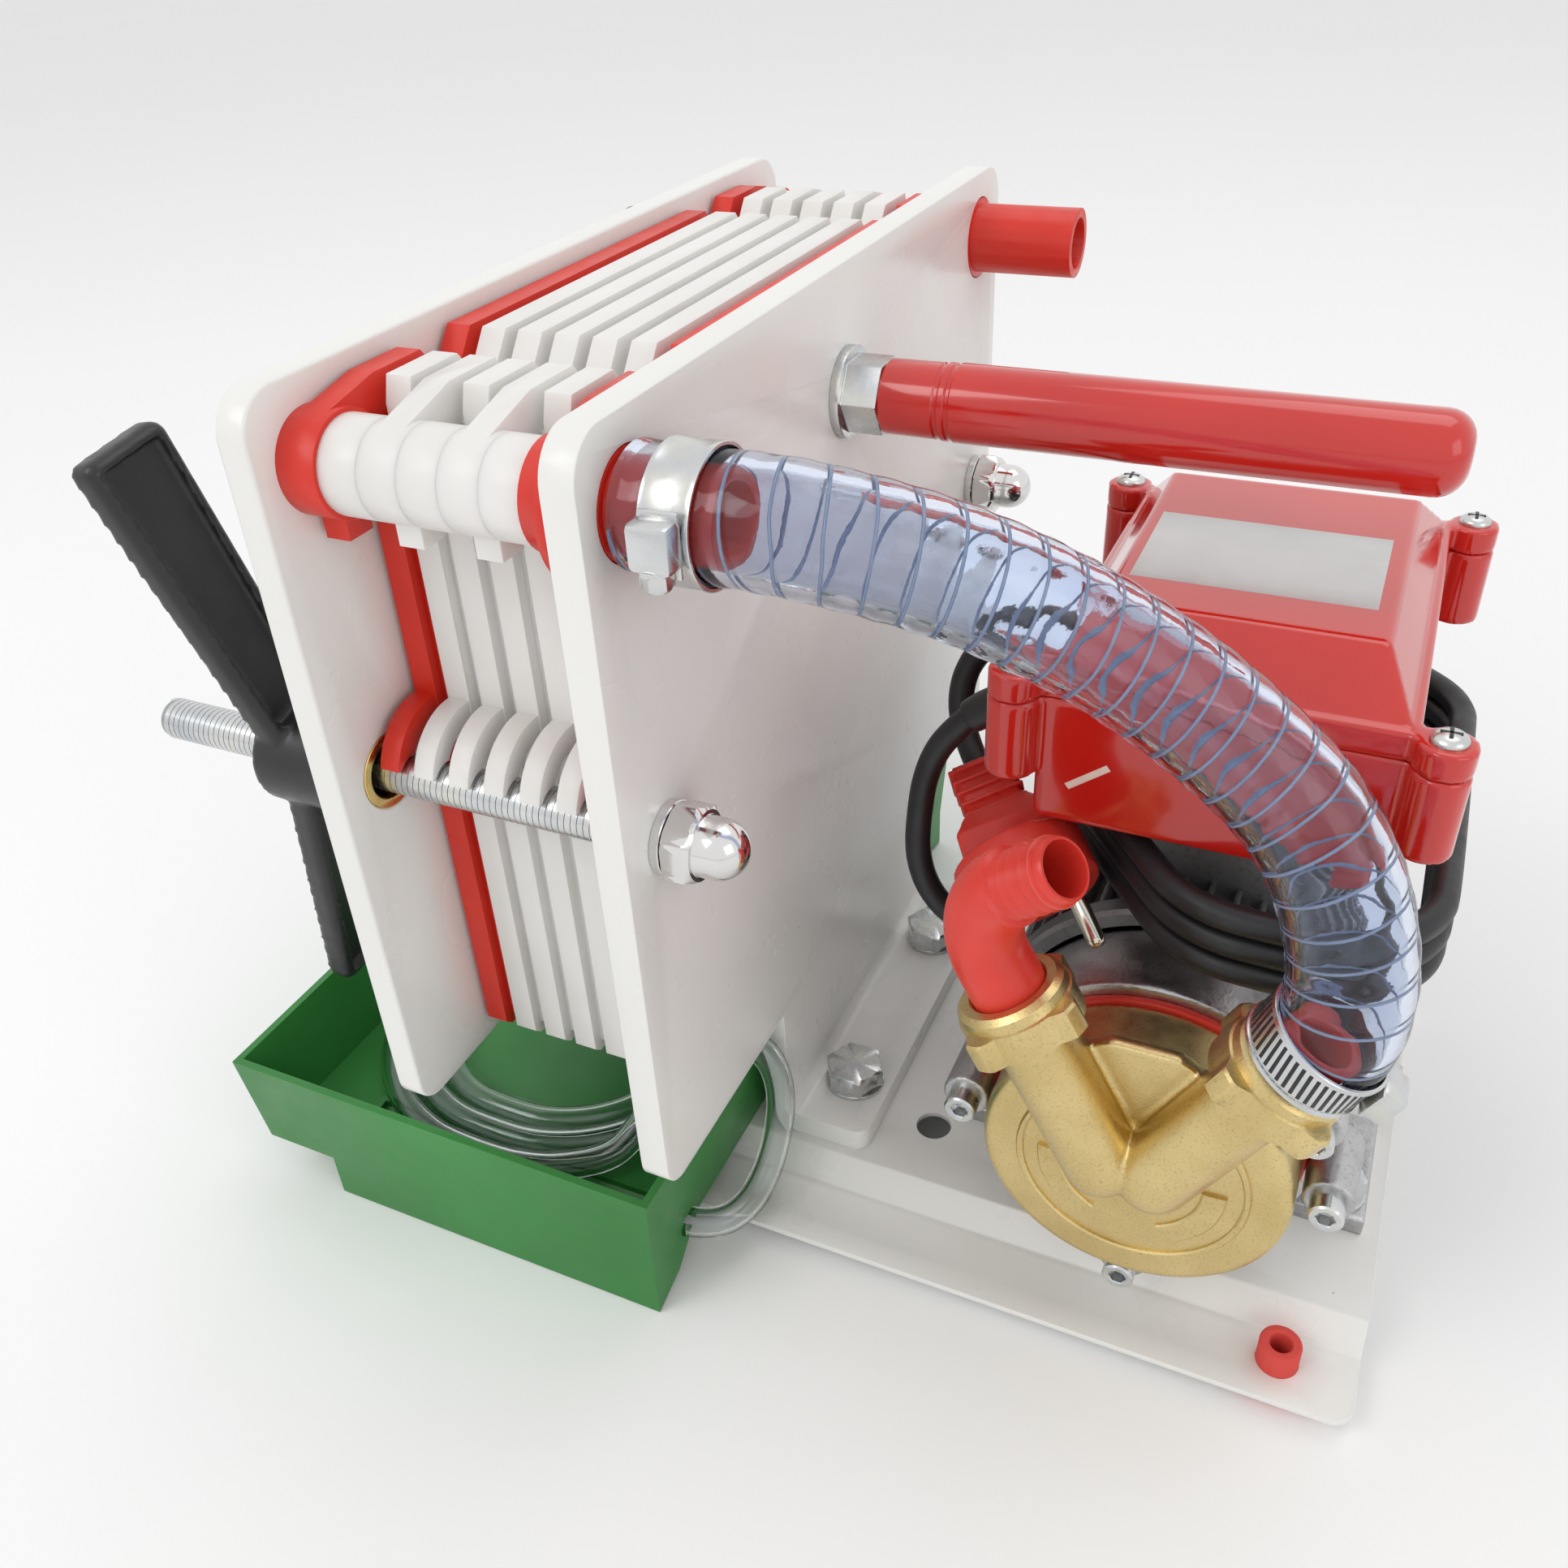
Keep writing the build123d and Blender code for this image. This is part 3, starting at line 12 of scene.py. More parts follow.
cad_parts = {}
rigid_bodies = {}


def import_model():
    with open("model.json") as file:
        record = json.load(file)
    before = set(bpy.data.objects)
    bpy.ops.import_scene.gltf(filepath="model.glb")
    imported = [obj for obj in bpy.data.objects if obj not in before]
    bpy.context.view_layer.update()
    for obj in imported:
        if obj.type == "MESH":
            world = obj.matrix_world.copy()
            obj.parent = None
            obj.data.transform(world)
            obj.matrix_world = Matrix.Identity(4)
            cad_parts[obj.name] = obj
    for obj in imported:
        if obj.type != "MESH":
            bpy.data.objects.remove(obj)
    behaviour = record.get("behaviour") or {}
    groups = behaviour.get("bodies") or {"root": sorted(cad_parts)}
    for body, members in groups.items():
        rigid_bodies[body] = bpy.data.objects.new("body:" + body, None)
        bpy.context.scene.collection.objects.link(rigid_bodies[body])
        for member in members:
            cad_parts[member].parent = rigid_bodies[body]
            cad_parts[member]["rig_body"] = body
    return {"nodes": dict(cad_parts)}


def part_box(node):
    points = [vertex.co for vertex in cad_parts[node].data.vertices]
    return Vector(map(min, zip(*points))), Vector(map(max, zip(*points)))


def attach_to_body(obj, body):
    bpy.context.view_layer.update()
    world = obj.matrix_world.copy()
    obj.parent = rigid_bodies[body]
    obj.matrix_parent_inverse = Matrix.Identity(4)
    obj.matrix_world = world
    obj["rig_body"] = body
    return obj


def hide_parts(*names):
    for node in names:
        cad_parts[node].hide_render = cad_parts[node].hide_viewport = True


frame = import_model()

log = logging.getLogger("filter_press")

MM = 0.001
Colour = tuple[float, float, float]


class Sheet:
    """Node tree of one material, with short ways to add and join its nodes."""

    def __init__(self, name: str) -> None:
        """Starts a material with a Principled shader.

        Args:
            name: Name of the material.
        """
        self.material = bpy.data.materials.new(name)
        self.material.use_nodes = True
        self.tree = self.material.node_tree
        self.tree.nodes.clear()
        self.output = self.tree.nodes.new("ShaderNodeOutputMaterial")
        self.shader = self.tree.nodes.new("ShaderNodeBsdfPrincipled")
        self.tree.links.new(self.shader.outputs["BSDF"], self.output.inputs["Surface"])
        self.place = self.tree.nodes.new("ShaderNodeTexCoord").outputs["Object"]

    def add(self, kind: str, **settings: object) -> bpy.types.Node:
        """Adds a node and sets its attributes.

        Args:
            kind: Type name of the node.
            settings: Attributes of the node by name.

        Returns:
            The new node.
        """
        node = self.tree.nodes.new(kind)
        for key, value in settings.items():
            setattr(node, key, value)
        return node

    def join(self, source: bpy.types.NodeSocket, target: bpy.types.NodeSocket) -> None:
        """Links an output to an input."""
        self.tree.links.new(source, target)

    def stretched(self, stretch: Sequence[float]) -> bpy.types.NodeSocket:
        """Object coordinates with each axis scaled.

        Args:
            stretch: Scale along X, Y and Z.

        Returns:
            The scaled coordinates.
        """
        mapping = self.add("ShaderNodeMapping")
        mapping.inputs["Scale"].default_value = stretch
        self.join(self.place, mapping.inputs["Vector"])
        return mapping.outputs["Vector"]

    def noise(self, scale: float, detail: float = 2.0,
              stretch: Sequence[float] = (1, 1, 1)) -> bpy.types.NodeSocket:
        """Noise from 0 to 1 on object coordinates.

        Args:
            scale: Waves to the metre.
            detail: Octaves of the noise.
            stretch: Scale along each axis, for streaks.

        Returns:
            The noise's value.
        """
        node = self.add("ShaderNodeTexNoise")
        node.inputs["Scale"].default_value = scale
        node.inputs["Detail"].default_value = detail
        self.join(self.stretched(stretch), node.inputs["Vector"])
        return node.outputs["Fac"]

    def cells(self, scale: float) -> bpy.types.NodeSocket:
        """Distance to the nearest cell centre, for specks and pits.

        Args:
            scale: Cells to the metre.

        Returns:
            The distance.
        """
        node = self.add("ShaderNodeTexVoronoi")
        node.inputs["Scale"].default_value = scale
        self.join(self.place, node.inputs["Vector"])
        return node.outputs["Distance"]

    def spread(self, value: bpy.types.NodeSocket, low: float, high: float,
               start: float = 0.3, end: float = 0.7) -> bpy.types.NodeSocket:
        """Maps a value onto another range.

        Args:
            value: The value.
            low: Result at start.
            high: Result at end.
            start: Lower bound of the value.
            end: Upper bound of the value.

        Returns:
            The mapped value.
        """
        node = self.add("ShaderNodeMapRange")
        node.inputs["From Min"].default_value = start
        node.inputs["From Max"].default_value = end
        node.inputs["To Min"].default_value = low
        node.inputs["To Max"].default_value = high
        self.join(value, node.inputs["Value"])
        return node.outputs["Result"]

    def blend(self, factor: bpy.types.NodeSocket, first: object, second: object) -> bpy.types.NodeSocket:
        """Mixes two colours.

        Args:
            factor: Share of the second colour.
            first: A colour or a colour socket.
            second: A colour or a colour socket.

        Returns:
            The mixed colour.
        """
        node = self.add("ShaderNodeMix", data_type="RGBA")
        self.join(factor, node.inputs["Factor"])
        for key, colour in (("A", first), ("B", second)):
            socket = [s for s in node.inputs if s.name == key and s.type == "RGBA"][0]
            if isinstance(colour, bpy.types.NodeSocket):
                self.join(colour, socket)
            else:
                socket.default_value = (*colour, 1.0)
        return [s for s in node.outputs if s.type == "RGBA"][0]

    def bump(self, height: bpy.types.NodeSocket, distance: float, strength: float = 1.0,
             below: Optional[bpy.types.NodeSocket] = None) -> bpy.types.NodeSocket:
        """Bumps the surface.

        Args:
            height: Height from 0 to 1.
            distance: Height of a full step in metres.
            strength: Share of the bump that is used.
            below: Normal of a coarser bump.

        Returns:
            The bumped normal, which the shader also gets.
        """
        node = self.add("ShaderNodeBump")
        node.inputs["Distance"].default_value = distance
        node.inputs["Strength"].default_value = strength
        self.join(height, node.inputs["Height"])
        if below is not None:
            self.join(below, node.inputs["Normal"])
        self.join(node.outputs["Normal"], self.shader.inputs["Normal"])
        return node.outputs["Normal"]

    def value(self, key: str, number: object) -> None:
        """Sets one of the shader's own sockets."""
        self.shader.inputs[key].default_value = number


@dataclass(frozen=True)
class Finish:
    """A surface whose colour and gloss waver over two scales.

    Args:
        name: Name of the finish.
        slot: The record's material slot that it stands for; not used.
        colour: Main colour.
        shade: Colour of the darker patches.
        gloss_low: Roughness of the smoother patches.
        gloss_high: Roughness of the rougher patches.
        metal: 1 for metal.
        grain: Waves to the metre of the fine bump.
        grain_height: Height of the fine bump in metres.
        patch: Waves to the metre of the patches.
        stretch: Scale of patches and grain along each axis.
        coat: Weight of a clear coat.
    """

    name: str
    slot: str
    colour: Colour
    shade: Colour
    gloss_low: float = 0.35
    gloss_high: float = 0.45
    metal: float = 0.0
    grain: float = 1500.0
    grain_height: float = 0.00002
    patch: float = 40.0
    stretch: tuple[float, float, float] = (1.0, 1.0, 1.0)
    coat: float = 0.0

    def build(self) -> bpy.types.Material:
        """Builds the material once and returns it."""
        known = bpy.data.materials.get(self.name)
        if known is not None:
            return known
        sheet = Sheet(self.name)
        patches = sheet.noise(self.patch, 4.0, self.stretch)
        colour = sheet.blend(sheet.spread(patches, 0.0, 1.0), self.shade, self.colour)
        sheet.value("Metallic", self.metal)
        if self.coat > 0:
            sheet.value("Coat Weight", self.coat)
            sheet.value("Coat Roughness", 0.06)
        gloss = sheet.noise(self.patch * 3.7, 3.0, self.stretch)
        sheet.join(sheet.spread(gloss, self.gloss_low, self.gloss_high), sheet.shader.inputs["Roughness"])
        fine = sheet.noise(self.grain, 3.0, self.stretch)
        normal = sheet.bump(fine, self.grain_height)
        sheet.join(self.detail(sheet, colour, normal), sheet.shader.inputs["Base Color"])
        return sheet.material

    def detail(self, sheet: Sheet, colour: bpy.types.NodeSocket,
               normal: bpy.types.NodeSocket) -> bpy.types.NodeSocket:
        """Adds what is particular to a kind of finish.

        Args:
            sheet: The material's node tree.
            colour: Colour so far.
            normal: Normal so far.

        Returns:
            The colour to use.
        """
        return colour


@dataclass(frozen=True)
class PowderCoat(Finish):
    """Baked paint with a faint ripple and a few dark specks."""

    def detail(self, sheet: Sheet, colour: bpy.types.NodeSocket,
               normal: bpy.types.NodeSocket) -> bpy.types.NodeSocket:
        """Adds the ripple and the specks."""
        ripple = sheet.noise(260.0, 1.0)
        sheet.bump(ripple, 0.00003, 1.0, normal)
        speck = sheet.spread(sheet.cells(38.0), 1.0, 0.0, 0.012, 0.018)
        return sheet.blend(speck, colour, (0.22, 0.20, 0.17))


@dataclass(frozen=True)
class MilkyPlastic(Finish):
    """Translucent polypropylene that lets light in at its edges."""

    def detail(self, sheet: Sheet, colour: bpy.types.NodeSocket,
               normal: bpy.types.NodeSocket) -> bpy.types.NodeSocket:
        """Lets light spread under the surface."""
        sheet.value("Subsurface Weight", 0.35)
        sheet.value("Subsurface Radius", (0.9, 0.85, 0.8))
        sheet.value("Subsurface Scale", 0.0035)
        return colour


@dataclass(frozen=True)
class SandCast(Finish):
    """Sand-cast metal: coarse pits over a fine grain, darker in the hollows."""

    pits: float = 900.0
    pit_height: float = 0.00012

    def detail(self, sheet: Sheet, colour: bpy.types.NodeSocket,
               normal: bpy.types.NodeSocket) -> bpy.types.NodeSocket:
        """Adds the pits and darkens them."""
        lumps = sheet.noise(self.pits, 5.0)
        sheet.bump(lumps, self.pit_height, 1.0, normal)
        dark = sheet.spread(lumps, 0.45, 0.0, 0.30, 0.46)
        return sheet.blend(dark, colour, tuple(0.55 * c for c in self.shade))


@dataclass(frozen=True)
class Plated(Finish):
    """Plated steel with faint warm and cool clouds."""

    cloud: Colour = (0.74, 0.71, 0.60)

    def detail(self, sheet: Sheet, colour: bpy.types.NodeSocket,
               normal: bpy.types.NodeSocket) -> bpy.types.NodeSocket:
        """Adds the clouds of the passivated layer."""
        clouds = sheet.noise(120.0, 2.0)
        return sheet.blend(sheet.spread(clouds, 0.0, 0.5, 0.45, 0.75), colour, self.cloud)


@dataclass(frozen=True)
class Clear(Finish):
    """Clear soft plastic of a hose or tube."""

    bend: float = 1.36

    def detail(self, sheet: Sheet, colour: bpy.types.NodeSocket,
               normal: bpy.types.NodeSocket) -> bpy.types.NodeSocket:
        """Lets light through, with slow waves in the wall."""
        sheet.value("Transmission Weight", 1.0)
        sheet.value("IOR", self.bend)
        waves = sheet.noise(70.0, 1.0)
        sheet.bump(waves, 0.0004, 0.6, normal)
        return colour


class Paint(Enum):
    """The finishes of the press by the place that they are used."""

    WHITE_PAINT = PowderCoat("white_powder_coat", "white_paint", (0.83, 0.825, 0.80), (0.79, 0.785, 0.755),
                             0.22, 0.34, grain=900.0, grain_height=0.00001, patch=9.0)
    MILKY = MilkyPlastic("milky_polypropylene", "white_plastic", (0.82, 0.81, 0.79), (0.76, 0.745, 0.72),
                         0.34, 0.48, grain=500.0, grain_height=0.00002, patch=25.0)
    RED_MATT = Finish("moulded_red", "red_plastic", (0.72, 0.030, 0.013), (0.62, 0.020, 0.009),
                      0.30, 0.42, grain=700.0, grain_height=0.00002, patch=30.0)
    RED_SEMI = MilkyPlastic("pale_red_nylon", "red_plastic", (0.76, 0.050, 0.032), (0.66, 0.034, 0.022),
                            0.26, 0.40, grain=900.0, grain_height=0.00002, patch=60.0)
    RED_GLOSS = Finish("gloss_red", "red_gloss", (0.62, 0.018, 0.010), (0.54, 0.013, 0.008),
                       0.10, 0.18, grain=300.0, grain_height=0.00001, patch=18.0, coat=0.6)
    RED_RUBBER = Finish("red_rubber", "red_rubber", (0.55, 0.05, 0.04), (0.45, 0.035, 0.03),
                        0.5, 0.65, grain=1200.0, grain_height=0.00003)
    BLACK_NYLON = Finish("black_nylon", "black_plastic", (0.018, 0.018, 0.019), (0.010, 0.010, 0.011),
                         0.30, 0.42, grain=1400.0, grain_height=0.00003, patch=60.0)
    BLACK_SHEATH = Finish("black_sheath", "black_rubber", (0.016, 0.017, 0.019), (0.008, 0.008, 0.010),
                          0.36, 0.5, grain=1100.0, grain_height=0.00003, patch=70.0)
    ZINC = Plated("bright_zinc", "zinc_steel", (0.66, 0.67, 0.67), (0.52, 0.54, 0.56),
                  0.20, 0.34, metal=1.0, grain=2200.0, grain_height=0.00001, patch=90.0)
    POLISHED = Finish("polished_steel", "polished_steel", (0.72, 0.70, 0.67), (0.58, 0.56, 0.53),
                      0.08, 0.18, metal=1.0, grain=700.0, grain_height=0.00001, patch=60.0)
    NICKEL = Finish("nickel_plate", "nickel", (0.70, 0.66, 0.58), (0.60, 0.55, 0.46),
                    0.10, 0.2, metal=1.0, grain=900.0, grain_height=0.00001)
    CAST_BRASS = SandCast("cast_brass", "brass", (0.74, 0.59, 0.29), (0.60, 0.46, 0.20),
                          0.30, 0.42, metal=1.0, grain=4200.0, grain_height=0.00003, patch=45.0, pits=1500.0,
                          pit_height=0.00006)
    TURNED_BRASS = Finish("turned_brass", "brass", (0.80, 0.62, 0.25), (0.66, 0.48, 0.17),
                          0.20, 0.32, metal=1.0, grain=3000.0, grain_height=0.00002, patch=60.0)
    MOTOR_GREY = SandCast("motor_grey", "grey_motor", (0.30, 0.30, 0.305), (0.20, 0.20, 0.205),
                          0.38, 0.5, metal=0.55, grain=2500.0, grain_height=0.00002, patch=30.0,
                          pits=700.0,
                          pit_height=0.00006)
    CAST_ALUMINIUM = SandCast("cast_aluminium", "aluminium", (0.56, 0.56, 0.56), (0.40, 0.40, 0.41),
                              0.30, 0.46, metal=1.0, grain=3200.0, grain_height=0.00002, patch=60.0)
    GREEN = Finish("green_formed_sheet", "green_plastic", (0.038, 0.26, 0.048), (0.026, 0.19, 0.034),
                   0.36, 0.5, grain=900.0, grain_height=0.00005, patch=14.0)
    HOSE_WALL = Clear("clear_hose_wall", "clear_hose", (0.80, 0.86, 0.96), (0.74, 0.80, 0.94),
                      0.02, 0.06, grain=300.0, grain_height=0.00004, patch=60.0)
    TUBE_WALL = Clear("clear_tube_wall", "clear_tube", (0.94, 0.96, 0.96), (0.90, 0.93, 0.93),
                      0.03, 0.08, grain=300.0, grain_height=0.00003, patch=60.0)
    BARE_LABEL = Finish("bare_label", "zinc_steel", (0.62, 0.62, 0.61), (0.55, 0.55, 0.545),
                        0.30, 0.4, metal=0.6, grain=2000.0, grain_height=0.00001, patch=40.0)
    HOSE_WIRE = Finish("hose_wire", "clear_hose", (0.42, 0.50, 0.66), (0.34, 0.42, 0.58),
                       0.25, 0.35, patch=90.0)
    # Painted highlight on the gloss red terminal box; its slot is the box's red gloss.
    CREAM = Finish("cream_mark", "red_gloss", (0.86, 0.70, 0.60), (0.78, 0.60, 0.50), 0.4, 0.5, patch=200.0)


def material(paint: Paint) -> bpy.types.Material:
    """The material of a finish."""
    return paint.value.build()


class Smooth(Enum):
    """How a mesh's faces are shaded."""

    BY_ANGLE = "by_angle"
    ALL = "all"


def new_object(name: str, mesh: bpy.types.Mesh, paint: Paint, smooth: Smooth = Smooth.BY_ANGLE,
               angle: float = 35.0) -> bpy.types.Object:
    """Makes an object of a finished mesh.

    Args:
        name: Name of the piece.
        mesh: Its mesh, in metres in the press's frame.
        paint: Its finish.
        smooth: How its faces are shaded.
        angle: Sharp edges start at this angle in degrees.

    Returns:
        The new object.
    """
    piece = bpy.data.objects.new(name, mesh)
    bpy.context.scene.collection.objects.link(piece)
    mesh.materials.clear()
    mesh.materials.append(material(paint))
    if smooth is Smooth.ALL:
        mesh.shade_smooth()
    else:
        mesh.set_sharp_from_angle(angle=math.radians(angle))
    return piece


def mesh_from(work: bmesh.types.BMesh, name: str) -> bpy.types.Mesh:
    """Closes a bmesh into a mesh with doubles merged and normals outwards.

    Args:
        work: The bmesh, which is freed.
        name: Name of the mesh.

    Returns:
        The mesh.
    """
    bmesh.ops.remove_doubles(work, verts=work.verts, dist=1e-6)
    bmesh.ops.recalc_face_normals(work, faces=work.faces)
    mesh = bpy.data.meshes.new(name)
    work.to_mesh(mesh)
    work.free()
    mesh.polygons.foreach_set("use_smooth", [True] * len(mesh.polygons))
    return mesh


def settle(piece: bpy.types.Object) -> bpy.types.Object:
    """Applies a piece's modifiers to its mesh.

    Args:
        piece: A mesh or curve object with modifiers.

    Returns:
        The same object with a plain mesh, or a new mesh object in place of a curve.
    """
    graph = bpy.context.evaluated_depsgraph_get()
    mesh = bpy.data.meshes.new_from_object(piece.evaluated_get(graph), depsgraph=graph)
    if piece.type == "MESH":
        piece.modifiers.clear()
        piece.data = mesh
        return piece
    plain = bpy.data.objects.new(piece.name + "_mesh", mesh)
    bpy.context.scene.collection.objects.link(plain)
    bpy.data.objects.remove(piece)
    return plain


def attach(piece: bpy.types.Object, paint: Paint, *nodes: str,
           body: Optional[str] = None) -> bpy.types.Object:
    """Makes a piece ride on a body and stand for CAD nodes.

    Args:
        piece: The finished piece.
        paint: Its finish; not used.
        nodes: CAD nodes that it replaces.
        body: Body that it rides on; else the body of the first node.

    Returns:
        The piece.
    """
    owner = body or frame["nodes"][nodes[0]]["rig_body"]
    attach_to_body(piece, owner)
    if nodes:
        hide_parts(*nodes)
    log.info("%s: %d faces on %s", piece.name, len(getattr(piece.data, "polygons", ())), owner)
    return piece


def rounded_copy(node: str, paint: Paint, width: float = 0.0006, segments: int = 2,
                 angle: float = 28.0) -> bpy.types.Object:
    """Copies a CAD node and rounds its sharp edges.

    Args:
        node: Name of the CAD node.
        paint: Finish of the copy.
        width: Width of the rounding in metres.
        segments: Faces across the rounding.
        angle: Edges sharper than this are rounded, in degrees.

    Returns:
        The piece, which stands for the node.
    """
    work = bmesh.new()
    work.from_mesh(frame["nodes"][node].data)
    bmesh.ops.remove_doubles(work, verts=work.verts, dist=2e-6)
    bmesh.ops.dissolve_limit(work, angle_limit=math.radians(1.0), verts=work.verts, edges=work.edges)
    mesh = bpy.data.meshes.new(node + "_rounded")
    work.to_mesh(mesh)
    work.free()
    piece = new_object(node + "_dressed", mesh, paint, Smooth.ALL)
    bevel = piece.modifiers.new("edges", "BEVEL")
    bevel.width = width
    bevel.segments = segments
    bevel.limit_method = "ANGLE"
    bevel.angle_limit = math.radians(angle)
    bevel.harden_normals = True
    settle(piece)
    return attach(piece, paint, node)


class GrowingTree:
    """Geometry Nodes tree with named inputs, which ends in Realize Instances and Set Material."""

    def __init__(self, name: str) -> None:
        """Starts a tree with its geometry and material inputs.

        Args:
            name: Name of the tree.
        """
        self.group = bpy.data.node_groups.new(name, "GeometryNodeTree")
        sockets = self.group.interface
        sockets.new_socket("Geometry", in_out="INPUT", socket_type="NodeSocketGeometry")
        sockets.new_socket("Finish", in_out="INPUT", socket_type="NodeSocketMaterial")
        sockets.new_socket("Geometry", in_out="OUTPUT", socket_type="NodeSocketGeometry")
        self.start = self.group.nodes.new("NodeGroupInput")
        self.result = self.group.nodes.new("NodeGroupOutput")

    def size(self, name: str, kind: str = "Float") -> bpy.types.NodeSocket:
        """Adds a named input.

        Args:
            name: Name of the input.
            kind: Socket kind, such as Float, Int, Vector or Object.

        Returns:
            The input's socket inside the tree.
        """
        self.group.interface.new_socket(name, in_out="INPUT", socket_type="NodeSocket" + kind)
        return self.start.outputs[name]

    def add(self, kind: str, values: dict[object, object], output: object = 0,
            **settings: object) -> bpy.types.NodeSocket:
        """Adds a node.

        Args:
            kind: Type name of the node.
            values: A socket or a plain value for each input, by name or number.
            output: Name or number of the output that is returned.
            settings: Attributes of the node.

        Returns:
            One of the node's outputs.
        """
        node = self.group.nodes.new(kind)
        for key, value in settings.items():
            setattr(node, key, value)
        for key, value in values.items():
            if isinstance(value, bpy.types.NodeSocket):
                self.group.links.new(value, node.inputs[key])
            else:
                node.inputs[key].default_value = value
        return node.outputs[output]

    def sum_of(self, operation: str, first: object, second: object = 0.0) -> bpy.types.NodeSocket:
        """Does one step of arithmetic.

        Args:
            operation: Name of the operation.
            first: First socket or number.
            second: Second socket or number.

        Returns:
            The result.
        """
        return self.add("ShaderNodeMath", {0: first, 1: second}, operation=operation)

    def finish(self, geometry: bpy.types.NodeSocket) -> None:
        """Realizes the instances, sets the finish and ends the tree."""
        real = self.add("GeometryNodeRealizeInstances", {"Geometry": geometry})
        finish = self.start.outputs["Finish"]
        made = self.add("GeometryNodeSetMaterial", {"Geometry": real, "Material": finish})
        self.group.links.new(made, self.result.inputs["Geometry"])

    def grow(self, paint: Paint, sizes: dict[str, object],
             host: Optional[bpy.types.ID] = None) -> bpy.types.Mesh:
        """Evaluates the tree once.

        Args:
            paint: Finish of the result.
            sizes: Value of each named input.
            host: Mesh or curve that the tree starts from.

        Returns:
            The result as a plain mesh.
        """
        data = host or bpy.data.meshes.new(self.group.name)
        carrier = bpy.data.objects.new(self.group.name, data)
        bpy.context.scene.collection.objects.link(carrier)
        modifier = carrier.modifiers.new("growth", "NODES")
        modifier.node_group = self.group
        wanted = {**sizes, "Finish": material(paint)}
        for item in self.group.interface.items_tree:
            if item.in_out == "INPUT" and item.name in wanted:
                modifier[item.identifier] = wanted[item.name]
        graph = bpy.context.evaluated_depsgraph_get()
        mesh = bpy.data.meshes.new_from_object(carrier.evaluated_get(graph), depsgraph=graph)
        bpy.data.objects.remove(carrier)
        return mesh


def row_tree() -> GrowingTree:
    """Copies of a shape in a straight row, or round the Z axis, or both at once."""
    tree = GrowingTree("row_of_copies")
    shape = tree.size("Shape", "Object")
    count = tree.size("Count", "Int")
    step = tree.size("Step", "Vector")
    radius = tree.size("Radius")
    first = tree.size("First Angle")
    turn = tree.size("Angle Step")
    index = tree.add("GeometryNodeInputIndex", {})
    angle = tree.sum_of("ADD", first, tree.sum_of("MULTIPLY", index, turn))
    across = tree.sum_of("MULTIPLY", radius, tree.sum_of("COSINE", angle))
    up = tree.sum_of("MULTIPLY", radius, tree.sum_of("SINE", angle))
    spot = tree.add("ShaderNodeCombineXYZ", {"X": across, "Y": up})
    shift = tree.add("ShaderNodeVectorMath", {0: step, "Scale": index}, operation="SCALE")
    place = tree.add("ShaderNodeVectorMath", {0: spot, 1: shift}, operation="ADD")
    points = tree.add("GeometryNodePoints", {"Count": count, "Position": place})
    copy = tree.add("GeometryNodeObjectInfo", {"Object": shape}, "Geometry")
    facing = tree.add("ShaderNodeCombineXYZ", {"Z": angle})
    tree.finish(tree.add("GeometryNodeInstanceOnPoints",
                         {"Points": points, "Instance": copy, "Rotation": facing}))
    return tree


def places_tree() -> GrowingTree:
    """Copies of a shape at the corners of the host mesh."""
    tree = GrowingTree("copies_at_places")
    shape = tree.size("Shape", "Object")
    copy = tree.add("GeometryNodeObjectInfo", {"Object": shape}, "Geometry")
    points = tree.add("GeometryNodeMeshToPoints", {"Mesh": tree.start.outputs["Geometry"]})
    tree.finish(tree.add("GeometryNodeInstanceOnPoints", {"Points": points, "Instance": copy}))
    return tree


def thread_tree() -> GrowingTree:
    """Ridge of a screw thread, wound up the Z axis."""
    tree = GrowingTree("screw_thread")
    length = tree.size("Length")
    pitch = tree.size("Pitch")
    root = tree.size("Root Radius")
    depth = tree.size("Depth")
    turns = tree.sum_of("DIVIDE", length, pitch)
    spiral = tree.add("GeometryNodeCurveSpiral", {
        "Resolution": 20, "Rotations": turns, "Start Radius": root, "End Radius": root, "Height": length})
    upright = tree.add("GeometryNodeSetCurveNormal", {"Curve": spiral}, mode="Z_UP")
    ridge = tree.add("GeometryNodeCurvePrimitiveCircle", {"Resolution": 3, "Radius": depth})
    tree.finish(tree.add("GeometryNodeCurveToMesh",
                         {"Curve": upright, "Profile Curve": ridge, "Fill Caps": True}))
    return tree


